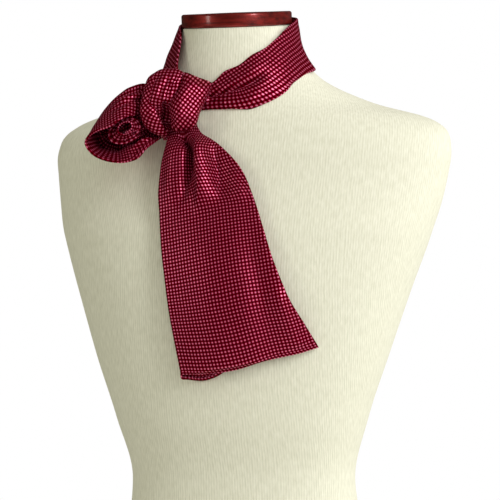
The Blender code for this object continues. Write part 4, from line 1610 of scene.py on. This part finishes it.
def knot_turns() -> list[SilkPiece]:
    """Lays out the knot.

    Returns:
        Its puffed left turn, the lobe that comes forward under that, and the wrap that crosses it.
    """
    puff = SectionPiece(
        name="silk_knot_left",
        node="knot_left",
        held=Held.GATHERED,
        rests_on=("neck_band",),
        size=(100, 90),
        seat=(0.0, 0.0, -3.7),
        fullness=3.0,
        rows=(
            Section((-84.0, 594.0, 84.0), (-68.0, 595.0, 91.0), 1.0),
            Section((-90.5, 601.0, 90.0), (-64.0, 601.0, 95.0), 4.0),
            Section((-98.5, 595.5, 92.0), (-62.5, 592.0, 96.0), 12.0),
            Section((-101.5, 585.0, 91.0), (-65.0, 578.0, 95.0), 18.0),
            Section((-102.0, 573.0, 90.0), (-70.0, 567.0, 93.0), 18.0),
            Section((-101.0, 562.0, 89.0), (-73.0, 557.0, 90.0), 13.0),
            Section((-97.0, 552.5, 89.0), (-74.0, 549.0, 89.0), 10.0),
            Section((-92.5, 545.5, 90.0), (-75.0, 543.0, 89.0), 7.0),
            Section((-88.0, 542.5, 90.0), (-77.0, 540.5, 89.0), 3.0),
        ),
        creases=(
            Crease(
                ((-66.0, 600.0), (-73.0, 590.0), (-78.5, 581.0), (-79.5, 570.0)),
                height=-2.6, left=3.4, right=2.4,
            ),
            Crease(
                ((-72.0, 602.0), (-80.0, 592.0), (-85.5, 582.0), (-87.0, 568.0)),
                height=-1.6, left=2.8, right=2.2,
            ),
            Crease(
                ((-82.0, 602.0), (-92.0, 594.0), (-97.5, 584.0), (-96.0, 573.0)),
                height=-2.0, left=2.6, right=3.0,
            ),
            Crease(
                ((-90.0, 571.0), (-88.0, 563.0), (-84.0, 555.0), (-80.0, 546.0)),
                height=-3.0, left=2.2, right=2.8,
            ),
            Crease(
                ((-84.0, 574.0), (-80.5, 565.0), (-79.5, 556.0), (-79.0, 546.0)),
                height=-12.0, left=3.6, right=5.0, end_fade=0.25,
            ),
        ),
    )
    lobe = SectionPiece(
        name="silk_knot_lobe",
        node="knot_left",
        held=Held.GATHERED,
        rests_on=("silk_knot_left",),
        size=(100, 40),
        fullness=2.4,
        thread_turn=38.0,
        rows=(
            Section((-93.0, 600.0, 83.0), (-88.0, 599.5, 87.0), 0.5),
            Section((-97.8, 595.0, 86.0), (-91.0, 595.0, 97.0), 3.0),
            Section((-101.5, 586.5, 88.0), (-92.0, 585.0, 103.0), 3.5),
            Section((-103.0, 579.0, 90.5), (-92.5, 579.0, 104.0), 4.5),
            Section((-104.6, 571.3, 92.0), (-93.0, 572.3, 102.5), 5.0),
            Section((-105.6, 562.7, 92.0), (-91.6, 565.6, 104.0), 6.5),
            Section((-103.6, 554.0, 92.0), (-89.2, 558.8, 104.0), 6.5),
            Section((-99.2, 547.3, 92.0), (-86.3, 553.5, 102.5), 5.5),
            Section((-93.3, 542.6, 92.0), (-83.2, 547.5, 99.0), 4.0),
            Section((-86.5, 540.0, 90.0), (-79.8, 542.5, 94.0), 2.0),
            Section((-83.0, 536.0, 84.0), (-77.0, 538.5, 86.0), 0.5),
        ),
    )
    wrap = SectionPiece(
        name="silk_knot_right",
        node="knot_right",
        held=Held.GATHERED,
        rests_on=("neck_band", "silk_knot_left"),
        size=(100, 80),
        fullness=6.0,
        flat_chart=True,
        thread_turn=37.0,
        edge_under=7.0,
        edge_radius=1.6,
        rows=(
            Section((-61.5, 597.0, 86.0), (-38.0, 588.5, 86.0), 0.0),
            Section((-62.5, 601.0, 93.0), (-36.0, 590.7, 89.0), 0.5),
            Section((-65.0, 594.0, 99.5), (-37.0, 587.0, 91.5), 5.5),
            Section((-69.5, 584.5, 103.0), (-39.0, 581.5, 94.0), 9.0),
            Section((-74.5, 574.7, 105.5), (-42.3, 574.5, 96.5), 10.5),
            Section((-77.0, 566.5, 108.0), (-45.4, 567.0, 99.5), 11.0),
            Section((-76.0, 559.8, 109.5), (-48.3, 560.5, 102.0), 11.0),
            Section((-75.3, 553.8, 109.0), (-50.0, 554.7, 103.0), 10.0),
            Section((-76.0, 548.9, 104.0), (-53.3, 551.0, 101.0), 6.0),
            Section((-73.5, 545.9, 95.0), (-58.0, 548.0, 93.0), 2.0),
        ),
        creases=(
            Crease(
                ((-62.0, 598.0), (-66.0, 590.0), (-71.0, 582.0), (-76.0, 572.0)),
                height=-1.6, left=2.0, right=3.0,
            ),
            Crease(
                ((-60.0, 592.0), (-50.0, 587.0), (-38.0, 584.0)),
                height=1.3, left=3.0, right=3.5,
            ),
        ),
    )
    return [puff, lobe, wrap]


def half_bow() -> list[SilkPiece]:
    """Lays out the half bow.

    Returns:
        The loop, and the strip's end that is rolled up in its mouth.
    """
    loop = BowLoop(
        name="silk_bow_loop",
        node="bow_loop",
        held=Held.FOLDED,
        rests_on=("knot_left",),
        size=(150, 60),
        seat=(0.0, 0.0, 2.0),
        rows=(
            LoopSection((-92.0, 566.0, 78.0), (-92.0, 586.5, 77.0), (-91.0, 566.0, 79.5), 1.0),
            LoopSection((-102.0, 561.0, 79.0), (-103.0, 591.0, 77.0), (-103.0, 562.0, 81.0), 2.0),
            LoopSection((-112.0, 557.0, 75.0), (-116.5, 587.3, 74.0), (-116.0, 559.5, 99.0), 3.0),
            LoopSection((-119.0, 554.0, 70.0), (-124.7, 582.3, 69.0), (-125.5, 555.5, 107.0), 3.5),
            LoopSection((-127.0, 548.5, 64.0), (-133.9, 574.3, 63.0), (-136.0, 549.0, 108.0), 3.5),
            LoopSection((-134.0, 545.0, 56.0), (-143.0, 563.0, 57.0), (-146.5, 545.5, 105.0), 3.0),
            LoopSection((-139.0, 543.0, 50.0), (-151.0, 549.0, 51.0), (-155.0, 540.5, 101.0), 1.0),
            LoopSection((-138.0, 542.0, 47.0), (-149.0, 537.0, 50.0), (-159.0, 532.5, 97.0), -1.0),
            LoopSection((-134.0, 543.0, 46.0), (-143.5, 530.5, 48.0), (-152.5, 522.5, 96.0), -3.0),
            LoopSection((-130.0, 549.0, 47.0), (-135.5, 527.5, 49.0), (-141.0, 516.5, 97.0), -5.0),
            LoopSection((-126.0, 555.0, 51.0), (-128.0, 526.0, 53.0), (-127.0, 514.0, 99.0), -6.0),
            LoopSection((-117.0, 559.0, 57.0), (-116.0, 530.0, 60.0), (-115.5, 515.0, 101.0), -9.0),
            LoopSection((-109.0, 562.0, 63.0), (-107.5, 534.0, 66.0), (-106.5, 519.0, 102.0), -8.0),
            LoopSection((-102.0, 562.0, 69.0), (-100.5, 539.0, 71.0), (-99.5, 527.5, 99.0), -5.0),
            LoopSection((-94.0, 565.0, 71.0), (-92.0, 544.0, 73.0), (-91.5, 534.0, 87.0), 1.0),
            LoopSection((-86.0, 567.0, 72.0), (-84.0, 549.0, 73.0), (-86.0, 539.0, 78.0), 0.5),
        ),
        creases=(
            Crease(
                ((0.5, 0.0), (0.51, 0.1), (0.53, 0.2), (0.55, 0.3)),
                height=-3.0, left=3.5, right=3.5, chart=Chart.SHARE, start_fade=0.05,
            ),
            Crease(
                ((0.66, 0.0), (0.69, 0.1), (0.72, 0.2), (0.74, 0.3)),
                height=-2.6, left=3.0, right=3.5, chart=Chart.SHARE, start_fade=0.05,
            ),
            Crease(
                ((0.59, 0.0), (0.61, 0.12), (0.63, 0.24)),
                height=1.6, left=3.5, right=3.5, chart=Chart.SHARE, start_fade=0.1,
            ),
            Crease(
                ((0.7, 0.98), (0.72, 0.9), (0.76, 0.8), (0.8, 0.72)),
                height=-2.4, left=3.0, right=3.0, chart=Chart.SHARE, start_fade=0.1,
            ),
        ),
    )
    curl = InnerCurl(
        name="silk_inner_curl",
        node="inner_curl",
        held=Held.FOLDED,
        rests_on=("bow_loop",),
        size=(150, 24),
        edge_under=2.0,
        edge_radius=0.6,
        rows=(
            Section((-92.0, 551.0, 79.0), (-92.0, 555.0, 85.0), 0.0),
            Section((-103.0, 541.5, 78.0), (-104.0, 548.0, 88.0), 1.0),
        ),
    )
    return [loop, curl]


def free_end() -> HangingTail:
    """Lays out the tail.

    Returns:
        The piece, from the knot down to its hem.
    """
    return HangingTail(
        name="silk_tail",
        node="tail",
        held=Held.HUNG,
        rests_on=("knot_right",),
        size=(170, 120),
        seat=(0.0, 1.41, 1.41),
        sag=(0.0, 2.0, 3.3, 3.7, 2.8, 0.6, 0.0, 0.5, 0.0),
        rows=(
            Section((-75.0, 557.0, 83.0), (-55.0, 558.0, 84.0), 1.0),
            Section((-76.5, 538.0, 91.0), (-48.0, 542.0, 96.0), 3.0),
            Section((-83.0, 517.0, 97.0), (-30.0, 530.0, 109.0), 6.0),
            Section((-86.0, 492.0, 101.0), (-9.6, 506.5, 120.0), 6.0),
            Section((-85.5, 463.0, 108.0), (2.0, 479.5, 132.0), 5.0),
            Section((-83.0, 430.0, 118.0), (11.5, 449.0, 142.0), 5.0),
            Section((-79.0, 398.0, 124.0), (21.0, 418.5, 147.0), 6.0),
            Section((-74.5, 366.0, 127.0), (35.0, 384.5, 149.0), 8.0),
            Section((-69.0, 338.0, 128.0), (50.5, 358.5, 144.0), 10.0),
            Section((-63.5, 311.0, 127.0), (63.5, 337.0, 137.0), 11.0),
        ),
        flap_widths=(3.0, 3.0, 3.5, 4.5, 6.0, 10.0, 17.0, 26.0, 36.0, 47.0),
        creases=(
            Crease(
                (
                    (-70.0, 543.0), (-63.0, 536.0), (-59.0, 527.0), (-59.0, 515.0), (-60.5, 501.0),
                    (-63.5, 487.0), (-68.0, 475.0), (-75.0, 465.0),
                ),
                height=-14.5, left=4.6, right=3.8, start_fade=0.1, end_fade=0.75,
            ),
            Crease(
                ((-73.0, 545.0), (-74.0, 530.0), (-75.0, 510.0), (-77.0, 490.0), (-79.0, 470.0)),
                height=2.5, left=6.0, right=7.0,
            ),
            Crease(
                (
                    (-54.0, 540.0), (-52.5, 528.0), (-50.0, 515.0), (-48.0, 500.0), (-47.5, 482.0),
                    (-49.0, 460.0),
                ),
                height=8.0, left=10.0, right=4.5, start_fade=0.2,
            ),
            Crease(
                (
                    (-44.0, 540.0), (-38.0, 528.0), (-34.0, 516.0), (-31.0, 503.0), (-28.0, 484.0),
                    (-26.0, 470.0),
                ),
                height=-7.0, left=13.0, right=5.0, start_fade=0.5,
            ),
            Crease(
                ((22.0, 400.0), (32.0, 372.0), (40.0, 354.0), (46.0, 338.0)),
                height=3.0, left=7.0, right=8.0, end_fade=0.05,
            ),
            Crease(
                ((-20.0, 512.0), (-12.0, 492.0), (-6.0, 470.0)),
                height=1.5, left=5.0, right=6.0,
            ),
            Crease(
                (
                    (-10.0, 490.0), (-1.0, 450.0), (6.0, 415.0), (12.0, 382.0), (19.0, 348.0),
                    (24.0, 320.0),
                ),
                height=-2.5, left=9.0, right=12.0, start_fade=0.5, end_fade=0.05,
            ),
            Crease(
                (
                    (-42.0, 476.0), (-37.0, 445.0), (-33.0, 415.0), (-28.0, 382.0), (-22.0, 350.0),
                    (-16.0, 318.0),
                ),
                height=6.5, left=75.0, right=36.0, start_fade=0.5, end_fade=0.02,
            ),
        ),
    )


def main() -> None:
    """Builds the studio and every piece."""
    logging.basicConfig(level=logging.INFO, format="%(name)s: %(message)s")
    form = FormShape()
    Studio().build(PaintedFloor().material())
    FormCover(form).build(CottonJersey().material())
    NeckCap(form).build(TurnedMahogany().material())
    silk = SilkGingham().material()
    for piece in (neck_band(form), *knot_turns(), *half_bow(), free_end()):
        piece.build(form, silk)


if __name__ == "__main__":
    main()
